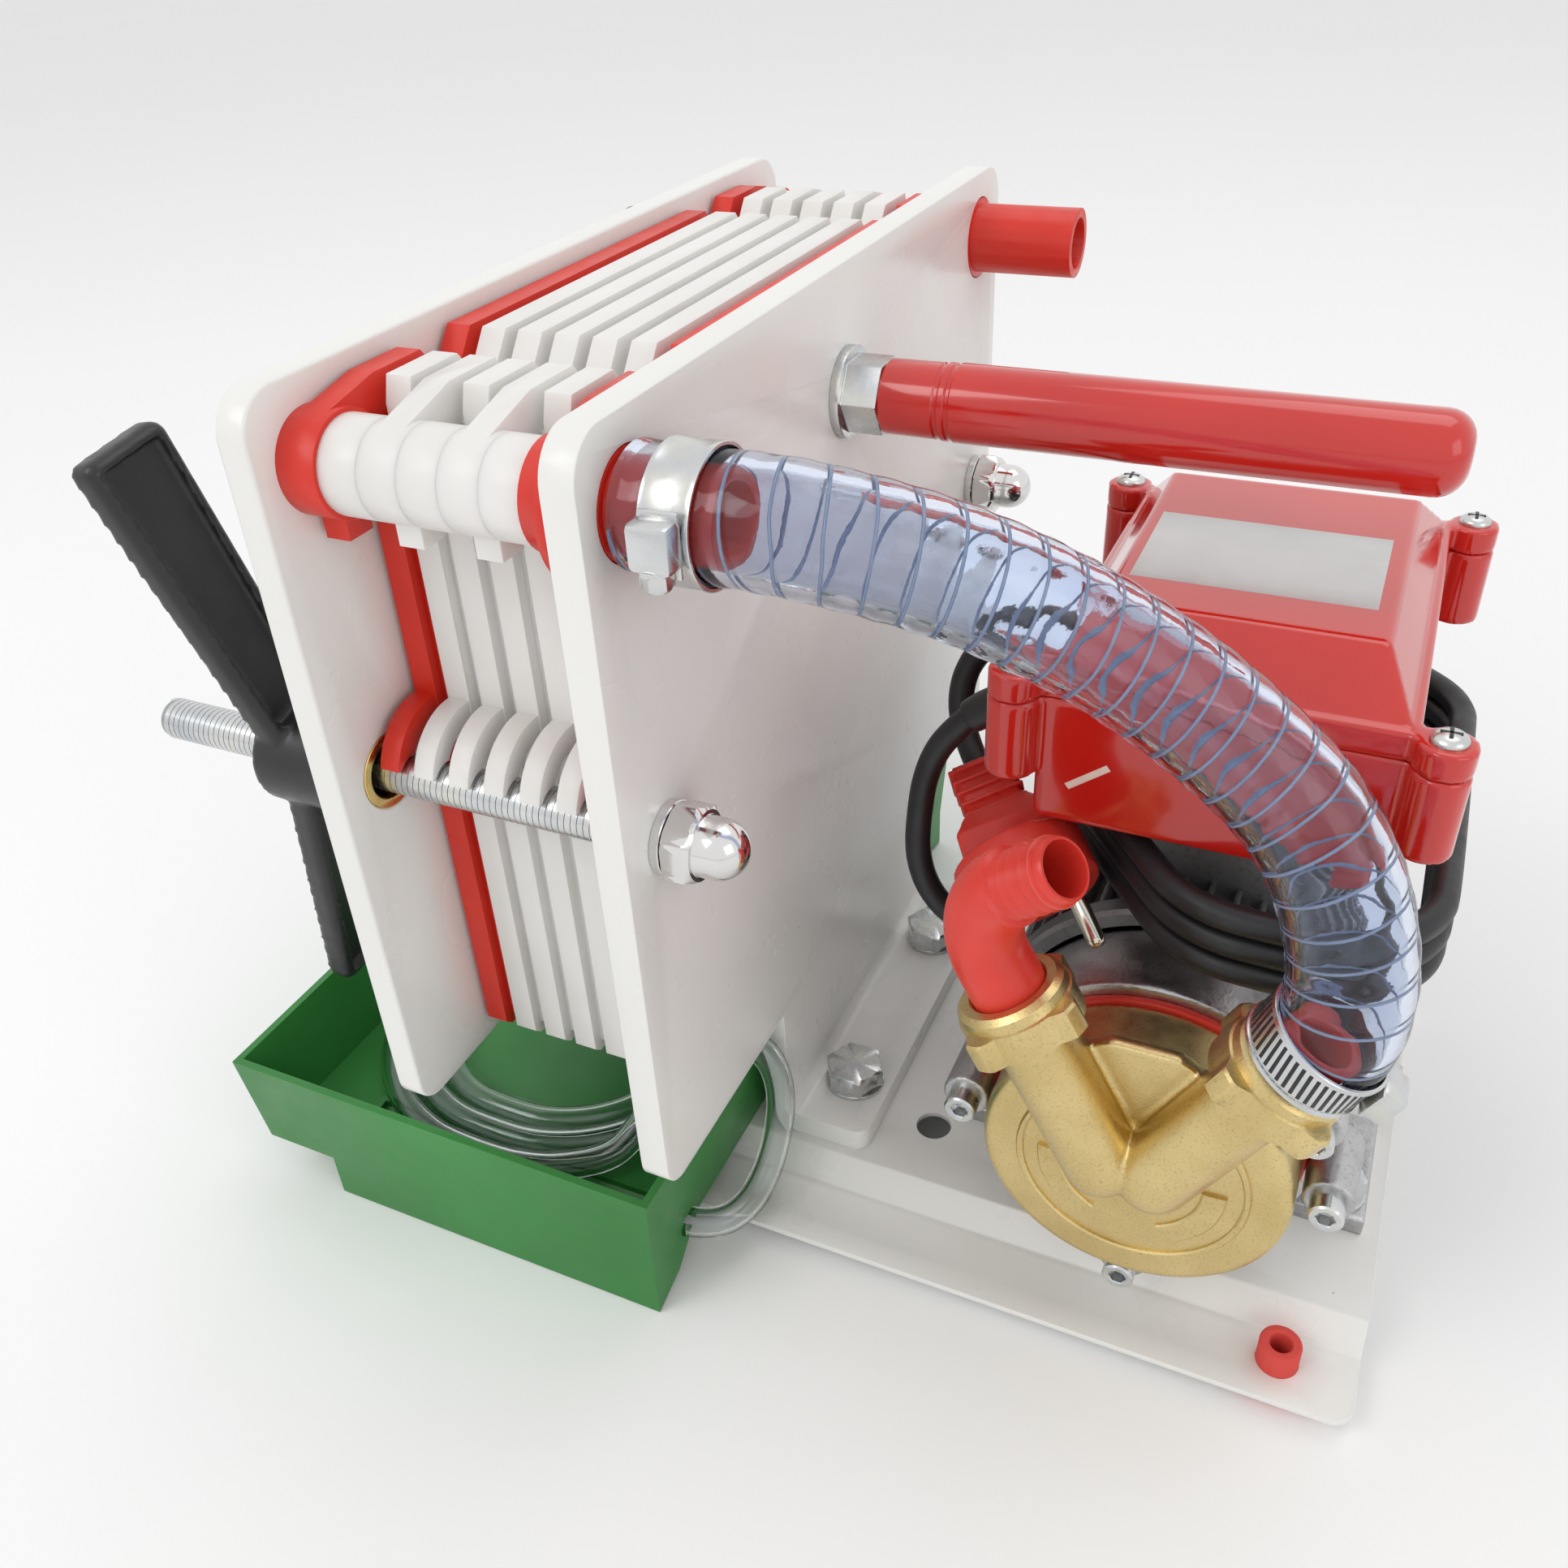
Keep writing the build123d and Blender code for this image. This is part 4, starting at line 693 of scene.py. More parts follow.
def wire_tree() -> GrowingTree:
    """Round wire wound about the host curve."""
    tree = GrowingTree("wound_wire")
    pitch = tree.size("Pitch")
    radius = tree.size("Radius")
    wire = tree.size("Wire Radius")
    count = tree.size("Points", "Int")
    line = tree.add("GeometryNodeResampleCurve", {"Curve": tree.start.outputs["Geometry"], "Count": count})
    length = tree.add("GeometryNodeSplineParameter", {}, "Length")
    angle = tree.sum_of("MULTIPLY", tree.sum_of("DIVIDE", length, pitch), 2 * math.pi)
    normal = tree.add("GeometryNodeInputNormal", {})
    tangent = tree.add("GeometryNodeInputTangent", {})
    side = tree.add("ShaderNodeVectorMath", {0: tangent, 1: normal}, operation="CROSS_PRODUCT")
    along_normal = tree.add("ShaderNodeVectorMath", {0: normal, "Scale": tree.sum_of("COSINE", angle)},
                            operation="SCALE")
    along_side = tree.add("ShaderNodeVectorMath", {0: side, "Scale": tree.sum_of("SINE", angle)},
                          operation="SCALE")
    outward = tree.add("ShaderNodeVectorMath", {0: along_normal, 1: along_side}, operation="ADD")
    offset = tree.add("ShaderNodeVectorMath", {0: outward, "Scale": radius}, operation="SCALE")
    coil = tree.add("GeometryNodeSetPosition", {"Geometry": line, "Offset": offset})
    section = tree.add("GeometryNodeCurvePrimitiveCircle", {"Resolution": 8, "Radius": wire})
    tree.finish(tree.add("GeometryNodeCurveToMesh",
                         {"Curve": coil, "Profile Curve": section, "Fill Caps": True}))
    return tree


def metres(*numbers: float) -> Vector:
    """A point given in millimetres."""
    return Vector(numbers) * MM


def frame_at(origin: Vector, along: Vector, across: Vector) -> Matrix:
    """Placement whose Z runs along one direction and whose X runs near another.

    Args:
        origin: Where the placement's zero lies.
        along: Direction of its Z axis.
        across: Direction that its X axis leans to.

    Returns:
        The placement.
    """
    z = along.normalized()
    x = (across - z * across.dot(z)).normalized()
    turn = Matrix((x, z.cross(x), z)).transposed().to_4x4()
    return Matrix.Translation(origin) @ turn


def arc_at(corner: Vector, before: Vector, after: Vector, radius: float, steps: int) -> list[Vector]:
    """Points of the arc that rounds a corner of a route.

    Args:
        corner: The corner.
        before: Point before it.
        after: Point after it.
        radius: Radius of the arc, in the points' unit.
        steps: Number of its parts.

    Returns:
        The points, both ends among them.
    """
    back, ahead = (before - corner).normalized(), (after - corner).normalized()
    half = back.angle(ahead) / 2
    middle = corner + (back + ahead).normalized() * (radius / math.sin(half))
    reach = radius / math.tan(half)
    first = (corner + back * reach - middle).normalized()
    last = (corner + ahead * reach - middle).normalized()
    return [middle + first.slerp(last, step / steps) * radius for step in range(steps + 1)]


Radius = Union[float, Callable[[float], float]]


def radius_at(radius: Radius, angle: float) -> float:
    """Radius of a round or shaped ring at an angle."""
    return radius(angle) if callable(radius) else radius


def turned(sections: Sequence[tuple[float, Radius]], steps: int = 48) -> bmesh.types.BMesh:
    """Stacks rings up the Z axis, each round or with its own outline.

    Args:
        sections: Height and radius of each ring in millimetres; a radius may depend on the angle.
        steps: Corners of each ring.

    Returns:
        A closed shape; it is capped unless its last ring lies inside its first.
    """
    work = bmesh.new()
    rings = []
    angles = [2 * math.pi * i / steps for i in range(steps)]
    for height, radius in sections:
        sizes = [radius_at(radius, angle) for angle in angles]
        corners = [metres(math.cos(a) * size, math.sin(a) * size, height) for a, size in zip(angles, sizes)]
        rings.append([work.verts.new(corner) for corner in corners])
    closed = sections[0] == sections[-1]
    if closed:
        rings[-1] = rings[0]
    for first, second in zip(rings, rings[1:]):
        for i in range(steps):
            j = (i + 1) % steps
            work.faces.new((first[i], first[j], second[j], second[i]))
    if not closed:
        work.faces.new(list(reversed(rings[0])))
        work.faces.new(rings[-1])
    loose = [v for v in work.verts if not v.link_faces]
    bmesh.ops.delete(work, geom=loose, context="VERTS")
    return work


def hexagonal(flats: float, most: float = 1e9) -> Callable[[float], float]:
    """Radius of a hexagon across its flats, cut back to a circle.

    Args:
        flats: Width across the flats in millimetres.
        most: Radius of the circle.

    Returns:
        The radius at an angle.
    """
    sixth = math.pi / 3

    def radius(angle: float) -> float:
        """Radius at an angle."""
        return min(flats / 2 / math.cos(angle % sixth - sixth / 2), most)

    return radius


def placed(work: bmesh.types.BMesh, place: Matrix, name: str) -> bpy.types.Mesh:
    """Moves a shape to its place and closes it into a mesh."""
    bmesh.ops.transform(work, matrix=place, verts=work.verts)
    return mesh_from(work, name)


def block(size: Sequence[float], centre: Sequence[float], name: str, rounding: float = 0.4,
          place: Matrix = Matrix()) -> bpy.types.Mesh:
    """Block with rounded edges.

    Args:
        size: Its lengths in millimetres.
        centre: Its middle in millimetres, before it is placed.
        name: Name of the mesh.
        rounding: Radius of its edges in millimetres.
        place: Its placement.

    Returns:
        The mesh.
    """
    work = bmesh.new()
    bmesh.ops.create_cube(work, size=1.0)
    bmesh.ops.scale(work, vec=metres(*size), verts=work.verts)
    bmesh.ops.translate(work, vec=metres(*centre), verts=work.verts)
    bmesh.ops.bevel(work, geom=list(work.edges), offset=rounding * MM, segments=2, affect="EDGES",
                    profile=0.5)
    return placed(work, place, name)


def joined(meshes: Sequence[bpy.types.Mesh], name: str) -> bpy.types.Mesh:
    """Puts several meshes into one and keeps their shading."""
    work = bmesh.new()
    for mesh in meshes:
        work.from_mesh(mesh)
    result = bpy.data.meshes.new(name)
    work.to_mesh(result)
    work.free()
    result.polygons.foreach_set("use_smooth", [True] * len(result.polygons))
    return result


def repeated(tree: GrowingTree, shape: bpy.types.Mesh, paint: Paint, place: Matrix,
             host: Optional[bpy.types.Mesh] = None, **sizes: object) -> bpy.types.Mesh:
    """Repeats a shape by one of the trees and puts the result in its place.

    Args:
        tree: The tree.
        shape: The shape that is repeated.
        paint: Finish of the result.
        place: Placement of the result.
        host: Mesh whose corners are the places.
        sizes: Named inputs of the tree, with underscores for spaces.

    Returns:
        The mesh.
    """
    pattern = bpy.data.objects.new(shape.name + "_pattern", shape)
    bpy.context.scene.collection.objects.link(pattern)
    named = {key.replace("_", " "): value for key, value in sizes.items()}
    mesh = tree.grow(paint, {**named, "Shape": pattern}, host)
    bpy.data.objects.remove(pattern)
    mesh.transform(place)
    mesh.polygons.foreach_set("use_smooth", [True] * len(mesh.polygons))
    return mesh


def points_mesh(points: Sequence[Vector]) -> bpy.types.Mesh:
    """Mesh of bare corners, for places."""
    mesh = bpy.data.meshes.new("places")
    mesh.from_pydata([tuple(p) for p in points], [], [])
    return mesh


def spline_curve(name: str, points: Sequence[Vector], bevel: float = 0.0) -> bpy.types.Object:
    """Curve of one open NURBS spline with the points as its control points.

    Args:
        name: Name of the object.
        points: Control points in metres.
        bevel: Radius of a round section, or 0 for a bare line.

    Returns:
        The curve's object.
    """
    data = bpy.data.curves.new(name, "CURVE")
    data.dimensions = "3D"
    data.resolution_u = 8
    data.bevel_depth = bevel
    data.bevel_resolution = 5
    data.use_fill_caps = True
    spline = data.splines.new("NURBS")
    spline.points.add(len(points) - 1)
    for corner, point in zip(spline.points, points):
        corner.co = (*point, 1.0)
    spline.order_u = 3
    spline.use_endpoint_u = True
    curve = bpy.data.objects.new(name, data)
    bpy.context.scene.collection.objects.link(curve)
    return curve


def line_of(curve: bpy.types.Object) -> list[Vector]:
    """Points along a bare curve, as the evaluated curve gives them."""
    graph = bpy.context.evaluated_depsgraph_get()
    mesh = bpy.data.meshes.new_from_object(curve.evaluated_get(graph), depsgraph=graph)
    return [v.co.copy() for v in mesh.vertices]


def length_of(line: Sequence[Vector]) -> float:
    """Length of a line of points."""
    return sum((b - a).length for a, b in zip(line, line[1:]))


def piped(line: Sequence[Vector], outer: Callable[[float, float], float], bore: float, name: str,
          steps: int = 40) -> bpy.types.Mesh:
    """Tube with a wall along a line.

    Args:
        line: Points of the centre line in metres.
        outer: Outer radius in metres from the distance along the line and the angle.
        bore: Radius of the bore in metres.
        name: Name of the mesh.
        steps: Faces round the tube.

    Returns:
        The closed mesh.
    """
    work = bmesh.new()
    normal = (line[1] - line[0]).orthogonal().normalized()
    distance = 0.0
    outside, inside = [], []
    for i, point in enumerate(line):
        before, after = line[max(i - 1, 0)], line[min(i + 1, len(line) - 1)]
        tangent = (after - before).normalized()
        normal = (normal - tangent * normal.dot(tangent)).normalized()
        side = tangent.cross(normal)
        if i:
            distance += (point - line[i - 1]).length
        angles = [2 * math.pi * k / steps for k in range(steps)]
        ways = [normal * math.cos(a) + side * math.sin(a) for a in angles]
        outside.append([work.verts.new(point + way * outer(distance, a)) for way, a in zip(ways, angles)])
        inside.append([work.verts.new(point + way * bore) for way in ways])
    loops = outside + inside[::-1] + [outside[0]]
    for first, second in zip(loops, loops[1:]):
        for k in range(steps):
            j = (k + 1) % steps
            work.faces.new((first[k], first[j], second[j], second[k]))
    return mesh_from(work, name)


def dense(line: Sequence[Vector], step: float) -> list[Vector]:
    """Points at even steps along a line."""
    result = [line[0].copy()]
    for a, b in zip(line, line[1:]):
        parts = max(1, round((b - a).length / step))
        result.extend(a.lerp(b, (i + 1) / parts) for i in range(parts))
    return result


def softened_copy(node: str, paint: Paint, voxel: float, passes: int) -> bpy.types.Object:
    """Copies a CAD node as a casting, whose edges and inner corners run into each other.

    Args:
        node: Name of the CAD node.
        paint: Finish of the copy.
        voxel: Size of the new faces in metres.
        passes: How often the surface is smoothed.

    Returns:
        The piece, which stands for the node.
    """
    work = bmesh.new()
    work.from_mesh(frame["nodes"][node].data)
    bmesh.ops.remove_doubles(work, verts=work.verts, dist=2e-6)
    mesh = bpy.data.meshes.new(node + "_cast")
    work.to_mesh(mesh)
    work.free()
    piece = new_object(node + "_dressed", mesh, paint, Smooth.ALL)
    remesh = piece.modifiers.new("casting", "REMESH")
    remesh.mode = "VOXEL"
    remesh.voxel_size = voxel
    remesh.use_smooth_shade = True
    smooth = piece.modifiers.new("soft", "SMOOTH")
    smooth.factor = 0.5
    smooth.iterations = passes
    settle(piece)
    return attach(piece, paint, node)


@dataclass
class Studio:
    """Floor, light and the camera at the photograph's angle."""

    image_pixels: float = 1932.0
    focal_pixels: float = 1711.55
    centre_pixels: tuple[float, float] = (967.3, 967.7)
    sensor: float = 36.0
    azimuth: float = 26.24
    elevation: float = 34.22
    roll: float = -3.14
    eye: tuple[float, float, float] = (0.1222, -0.3339, 0.3602)
    floor_reach: float = 6.0

    def build(self) -> None:
        """Builds the studio."""
        self.camera()
        self.lamps()
        self.world()
        self.floor()

    def camera(self) -> None:
        """Places the camera."""
        data = bpy.data.cameras.new("camera")
        data.sensor_width = self.sensor
        data.lens = self.focal_pixels / self.image_pixels * self.sensor
        half = self.image_pixels / 2
        data.shift_x = (half - self.centre_pixels[0]) / self.image_pixels
        data.shift_y = (self.centre_pixels[1] - half) / self.image_pixels
        data.clip_start = 0.01
        data.clip_end = 50
        az, el, roll = (math.radians(v) for v in (self.azimuth, self.elevation, self.roll))
        ahead = Vector((-math.sin(az) * math.cos(el), math.cos(az) * math.cos(el), -math.sin(el)))
        right = Vector((math.cos(az), math.sin(az), 0))
        up = right.cross(ahead)
        right, up = (right * math.cos(roll) + up * math.sin(roll),
                     up * math.cos(roll) - right * math.sin(roll))
        camera = bpy.data.objects.new("camera", data)
        turn = Matrix((right, up, -ahead)).transposed()
        camera.matrix_world = Matrix.Translation(Vector(self.eye)) @ turn.to_4x4()
        bpy.context.scene.collection.objects.link(camera)
        bpy.context.scene.camera = camera

    def lamp(self, name: str, place: Sequence[float], size: float, power: float) -> None:
        """Adds a square soft lamp that faces the press.

        Args:
            name: Name of the lamp.
            place: Where it hangs.
            size: Side of the lamp in metres.
            power: Power in watts.
        """
        data = bpy.data.lights.new(name, "AREA")
        data.size = size
        data.energy = power
        lamp = bpy.data.objects.new(name, data)
        lamp.location = place
        aim = Vector((0, 0, 0.1)) - Vector(place)
        lamp.rotation_euler = aim.to_track_quat("-Z", "Y").to_euler()
        bpy.context.scene.collection.objects.link(lamp)

    def lamps(self) -> None:
        """Hangs a key lamp at the left, a fill at the right and one over the top."""
        self.lamp("key", (-0.9, -1.2, 1.5), 0.9, 8.0)
        self.lamp("fill", (1.6, -0.8, 1.0), 1.0, 3.5)
        self.lamp("top", (0.3, 0.6, 1.9), 1.0, 4.0)

    def world(self) -> None:
        """A white background that lights the press at a plain level."""
        world = bpy.data.worlds.new("world")
        bpy.context.scene.world = world
        world.use_nodes = True
        tree = world.node_tree
        tree.nodes.clear()
        seen = tree.nodes.new("ShaderNodeBackground")
        seen.inputs["Color"].default_value = (1, 1, 1, 1)
        light = tree.nodes.new("ShaderNodeBackground")
        light.inputs["Color"].default_value = (1, 1, 1, 1)
        light.inputs["Strength"].default_value = 0.80
        rays = tree.nodes.new("ShaderNodeLightPath")
        first = tree.nodes.new("ShaderNodeMath")
        first.operation = "MAXIMUM"
        second = tree.nodes.new("ShaderNodeMath")
        second.operation = "MAXIMUM"
        mix = tree.nodes.new("ShaderNodeMixShader")
        out = tree.nodes.new("ShaderNodeOutputWorld")
        tree.links.new(rays.outputs["Is Camera Ray"], first.inputs[0])
        tree.links.new(rays.outputs["Is Transmission Ray"], first.inputs[1])
        tree.links.new(first.outputs[0], second.inputs[0])
        tree.links.new(rays.outputs["Is Glossy Ray"], second.inputs[1])
        tree.links.new(second.outputs[0], mix.inputs[0])
        tree.links.new(light.outputs[0], mix.inputs[1])
        tree.links.new(seen.outputs[0], mix.inputs[2])
        tree.links.new(mix.outputs[0], out.inputs["Surface"])

    def floor(self) -> None:
        """A plain pale floor."""
        sheet = Sheet("pale_floor")
        tint = sheet.noise(3.0, 2.0)
        colour = sheet.blend(tint, (0.94, 0.94, 0.94), (0.96, 0.96, 0.96))
        sheet.join(colour, sheet.shader.inputs["Base Color"])
        sheet.value("Roughness", 0.9)
        sheet.value("Specular IOR Level", 0.1)
        work = bmesh.new()
        bmesh.ops.create_grid(work, x_segments=1, y_segments=1, size=self.floor_reach)
        mesh = bpy.data.meshes.new("floor")
        work.to_mesh(mesh)
        work.free()
        mesh.materials.append(sheet.material)
        floor = bpy.data.objects.new("floor", mesh)
        floor.location = (0, 0, -0.0003)
        bpy.context.scene.collection.objects.link(floor)


@dataclass
class PumpPorts:
    """Directions of the two ports of the pump head, in millimetres."""

    root: tuple[float, float, float] = (92.0, -92.0, 72.0)
    angle: float = 28.6

    def direction(self, side: int) -> Vector:
        """Direction of a port, -1 for the left and 1 for the right one."""
        turn = math.radians(self.angle)
        return Vector((side * math.sin(turn), 0, math.cos(turn)))

    def at(self, side: int, distance: float) -> Vector:
        """Point on a port's axis in metres."""
        return metres(*self.root) + self.direction(side) * distance * MM

    def place(self, side: int, distance: float, across: Optional[Vector] = None) -> Matrix:
        """Placement across a port's axis."""
        return frame_at(self.at(side, distance), self.direction(side), across or Vector((0, -1, 0)))


@dataclass
class FeedHose:
    """Clear hose from the pump to the fixed red plate, with its wire and two clamps."""

    radius: float = 13.4
    bore: float = 10.5
    wire: float = 0.38
    wire_pitch: float = 8.0
    ripple: float = 0.12
    start: tuple[float, float, float] = (-15.5, -112.5, 252.5)
    from_plate: tuple = ((18, 0, 0), (35.5, 0, 0), (65.5, 12.5, -10.5), (97, 25.5, -31), (126.4, 29, -54))
    from_pump: tuple = ((-8, 4, 38), (-0.5, 2.5, 16.5))
    end_steps: tuple = (84.0, 77.0, 70.0)
    band: float = 0.8
    band_width: float = 11.0
    housing: tuple[float, float, float] = (6.2, 10.0, 9.4)
    ports: PumpPorts = field(default_factory=PumpPorts)

    def build(self) -> None:
        """Builds the hose, its wire and the clamps."""
        line_curve = spline_curve("hose_line", self.corners())
        line = dense(line_of(line_curve), 0.0011)
        wave = 2 * math.pi / (self.wire_pitch * MM)

        def outer(distance: float, angle: float) -> float:
            """Outer radius, which swells a little over the wire."""
            return (self.radius - self.ripple + self.ripple * math.cos(wave * distance - angle)) * MM

        wall = piped(line, outer, self.bore * MM, "inlet_hose_wall", 56)
        attach(new_object("inlet_hose_dressed", wall, Paint.HOSE_WALL, Smooth.BY_ANGLE, 50.0),
               Paint.HOSE_WALL, "inlet_hose")
        count = round(length_of(line) / (self.wire_pitch * MM)) * 28
        wire = wire_tree().grow(Paint.HOSE_WIRE, {
            "Pitch": self.wire_pitch * MM, "Radius": (self.radius - 1.3) * MM, "Wire Radius": self.wire * MM,
            "Points": count}, line_curve.data)
        bpy.data.objects.remove(line_curve)
        attach(new_object("hose_wire", wire, Paint.HOSE_WIRE, Smooth.ALL), Paint.HOSE_WIRE, body="root")
        middle = metres(*self.start) + metres(12.8, 0, 0)
        self.clamp("inlet_hose_clamp", frame_at(middle, Vector((1, 0, 0)), Vector((0, -1, 0))), False)
        right = self.ports.place(1, 75.7, Vector((1, 0, -1)))
        self.clamp("pump_hose_clamp", right, True)

    def corners(self) -> list[Vector]:
        """Control points of the centre line in metres."""
        start = metres(*self.start)
        last = self.ports.at(1, self.end_steps[0])
        plate = [start + metres(*step) for step in self.from_plate]
        pump = [last + metres(*step) for step in self.from_pump]
        return [start, *plate, *pump, *(self.ports.at(1, step) for step in self.end_steps)]

    def clamp(self, node: str, place: Matrix, slotted: bool) -> None:
        """Builds a clamp whose screw housing lies on the placement's X side.

        Args:
            node: CAD node that it stands for.
            place: Placement of its middle, with Z along the hose.
            slotted: Whether the band shows its raised edges and a row of black bars painted as the shade in
                its slot openings.
        """
        inner, half, rim = self.radius + 0.45, self.band_width / 2, 0.45
        outer = inner + self.band
        flat = outer - (rim if slotted else 0.12)
        sections = [(-half, inner), (-half, outer - 0.2), (-half + 0.2, outer), (-half + 1.1, outer),
                    (-half + 1.3, flat), (half - 1.3, flat), (half - 1.1, outer), (half - 0.2, outer),
                    (half, outer - 0.2), (half, inner), (-half, inner)]
        parts = [placed(turned(sections, 96), place, node + "_band")]
        depth, width, along = self.housing
        middle = outer + depth / 2 - 0.3
        parts.append(block((depth, width, along), (middle, -0.8, 0), "housing", 1.4, place))
        parts.append(block((1.0, 13.6, along - 1.0), (outer + 0.3, 0, 0), "saddle", 0.4, place))
        axis = place @ Matrix.Translation(metres(middle, width / 2 - 1.2, 0)) @ Matrix.Rotation(
            math.radians(-90), 4, "X")
        side = hexagonal(5.8)
        head = [(-0.3, 3.3), (0.1, 3.5), (0.6, 3.5), (0.8, 3.1), (0.8, side), (3.6, side),
                (4.2, hexagonal(5.8, 2.7)), (4.3, 0.4)]
        parts.append(placed(turned(head, 48), axis, "screw_head"))
        if slotted:
            # The black bars are painted shade: they stand for the dark slot openings, which are not cut
            # through the band.
            bar = block((0.35, 0.9, self.band_width - 3.4), (0, 0, 0), "bar", 0.12,
                        Matrix.Rotation(math.radians(14), 4, "X"))
            slot_shade = repeated(row_tree(), bar, Paint.BLACK_NYLON, place, Count=40, Radius=(flat - 0.1) * MM,
                             First_Angle=0.5, Angle_Step=2 * math.pi * 0.85 / 40, Step=(0, 0, 0))
            attach(new_object(node + "_slots", slot_shade, Paint.BLACK_NYLON), Paint.BLACK_NYLON, body="root")
        piece = new_object(node + "_dressed", joined(parts, node), Paint.ZINC)
        attach(piece, Paint.ZINC, node)


@dataclass
class PowerCord:
    """Mains cord from the gland, wound round the motor's neck, to the plug."""

    radius: float = 3.6
    ring: tuple = ((46, 62), (62, 86), (130, 86), (150, 66), (150, -62), (94, -62), (55, -14))
    bend: float = 29.0
    turns: int = 3
    pitch: float = 7.5
    low: float = 122.4
    arc_steps: int = 5
    from_box: tuple = (
        (29.2, -32, 166.7), (22.6, -33, 160), (17.9, -35, 148.7), (16.9, -37.3, 135.9), (16.9, -38.9, 123),
        (20.8, -39, 110.6), (29.4, -37.4, 101), (40.5, -31.1, 98), (47.5, -20.3, 107), (52.5, -8, 118),
    )
    to_plug: tuple = (
        (47.4, 36, 147), (46.5, 47, 149), (46, 55, 153), (45.3, 55, 163.5), (45, 44, 168.5), (44.4, 27, 171),
        (42.6, 9, 180), (36.5, -5, 184), (26.2, -9, 177.5), (18.8, -8, 164.5), (20.4, -13.8, 151.6),
        (29, -23.4, 145.8),
    )

    def build(self) -> None:
        """Builds the cord as one curve, which stands for its lead, its turns and its end."""
        curve = spline_curve("power_cord", [metres(*point) for point in self.corners()], self.radius * MM)
        bare = spline_curve("power_cord_line", [metres(*point) for point in self.corners()])
        length = length_of(line_of(bare))
        bpy.data.objects.remove(bare)
        curve.data.materials.append(material(Paint.BLACK_SHEATH))
        log.info("power cord is %.3f m long", length)
        attach(curve, Paint.BLACK_SHEATH, "power_cord_tube", "power_cord_coil")

    def corners(self) -> list[tuple[float, float, float]]:
        """Control points in millimetres."""
        flat = self.one_turn()
        lap = sum((b - a).length for a, b in zip(flat, flat[1:] + flat[:1]))
        points = list(self.from_box)
        gone = 0.0
        for i in range(self.turns * len(flat)):
            point = flat[i % len(flat)]
            points.append((point.x, point.y, self.low + self.pitch * gone / lap))
            gone += (flat[(i + 1) % len(flat)] - point).length
        first = flat[0]
        points.append((first.x, first.y, self.low + self.pitch * self.turns))
        return points + list(self.to_plug)

    def one_turn(self) -> list[Vector]:
        """Points of one turn from the left front, clockwise seen from above."""
        points = [Vector((54.0, -5.0)), Vector((52.5, 8.0))]
        corners = [Vector(corner) for corner in self.ring]
        for i, corner in enumerate(corners):
            after = corners[(i + 1) % len(corners)]
            points += arc_at(corner, corners[i - 1], after, self.bend, self.arc_steps)
        return points


@dataclass
class DrainTube:
    """Clear tube that leaves the tray, loops over its wall and lies in turns in the tray."""

    radius: float = 4.5
    bore: float = 3.1
    centre: tuple[float, float] = (-104.5, -20.0)
    half: tuple[float, float] = (54.0, 82.0)
    bend: float = 50.0
    level: float = 23.2
    spacing: float = 9.35
    turns: float = 2.6
    lead: tuple = (
        (-31.6, -104, 16.5), (-24, -102, 16), (-18, -93, 15.5), (-16, -81, 19.5), (-15.5, -71, 31),
        (-17, -65.5, 45), (-23, -64.5, 56.5), (-34, -67, 58), (-46, -74, 49.5), (-53, -83, 38.5),
        (-56.5, -91.5, 30), (-62, -98, 25),
    )

    def build(self) -> None:
        """Builds the tube with its wall."""
        bare = spline_curve("drain_line", [metres(*point) for point in [*self.lead, *self.coil()]])
        line = dense(line_of(bare), 0.0025)
        bpy.data.objects.remove(bare)
        wall = piped(line, lambda distance, angle: self.radius * MM, self.bore * MM, "drain_tube_wall", 28)
        piece = attach(new_object("drain_tube_dressed", wall, Paint.TUBE_WALL, Smooth.BY_ANGLE, 50.0),
                       Paint.TUBE_WALL, "drain_tube", "drain_tube_coil")

    def coil(self) -> list[tuple[float, float, float]]:
        """Control points of the flat turns, from the outer one inwards, clockwise seen from above."""
        points = []
        first, step = -65, 10
        for i in range(round(self.turns * 360 / step)):
            angle = math.radians(first - i * step)
            inset = self.bend - self.radius * 2 + 18 - self.spacing * i * step / 360
            x = self.centre[0] + math.copysign(self.half[0] - self.bend, math.cos(angle))
            y = self.centre[1] + math.copysign(self.half[1] - self.bend, math.sin(angle))
            points.append((x + inset * math.cos(angle), y + inset * math.sin(angle), self.level))
        return points


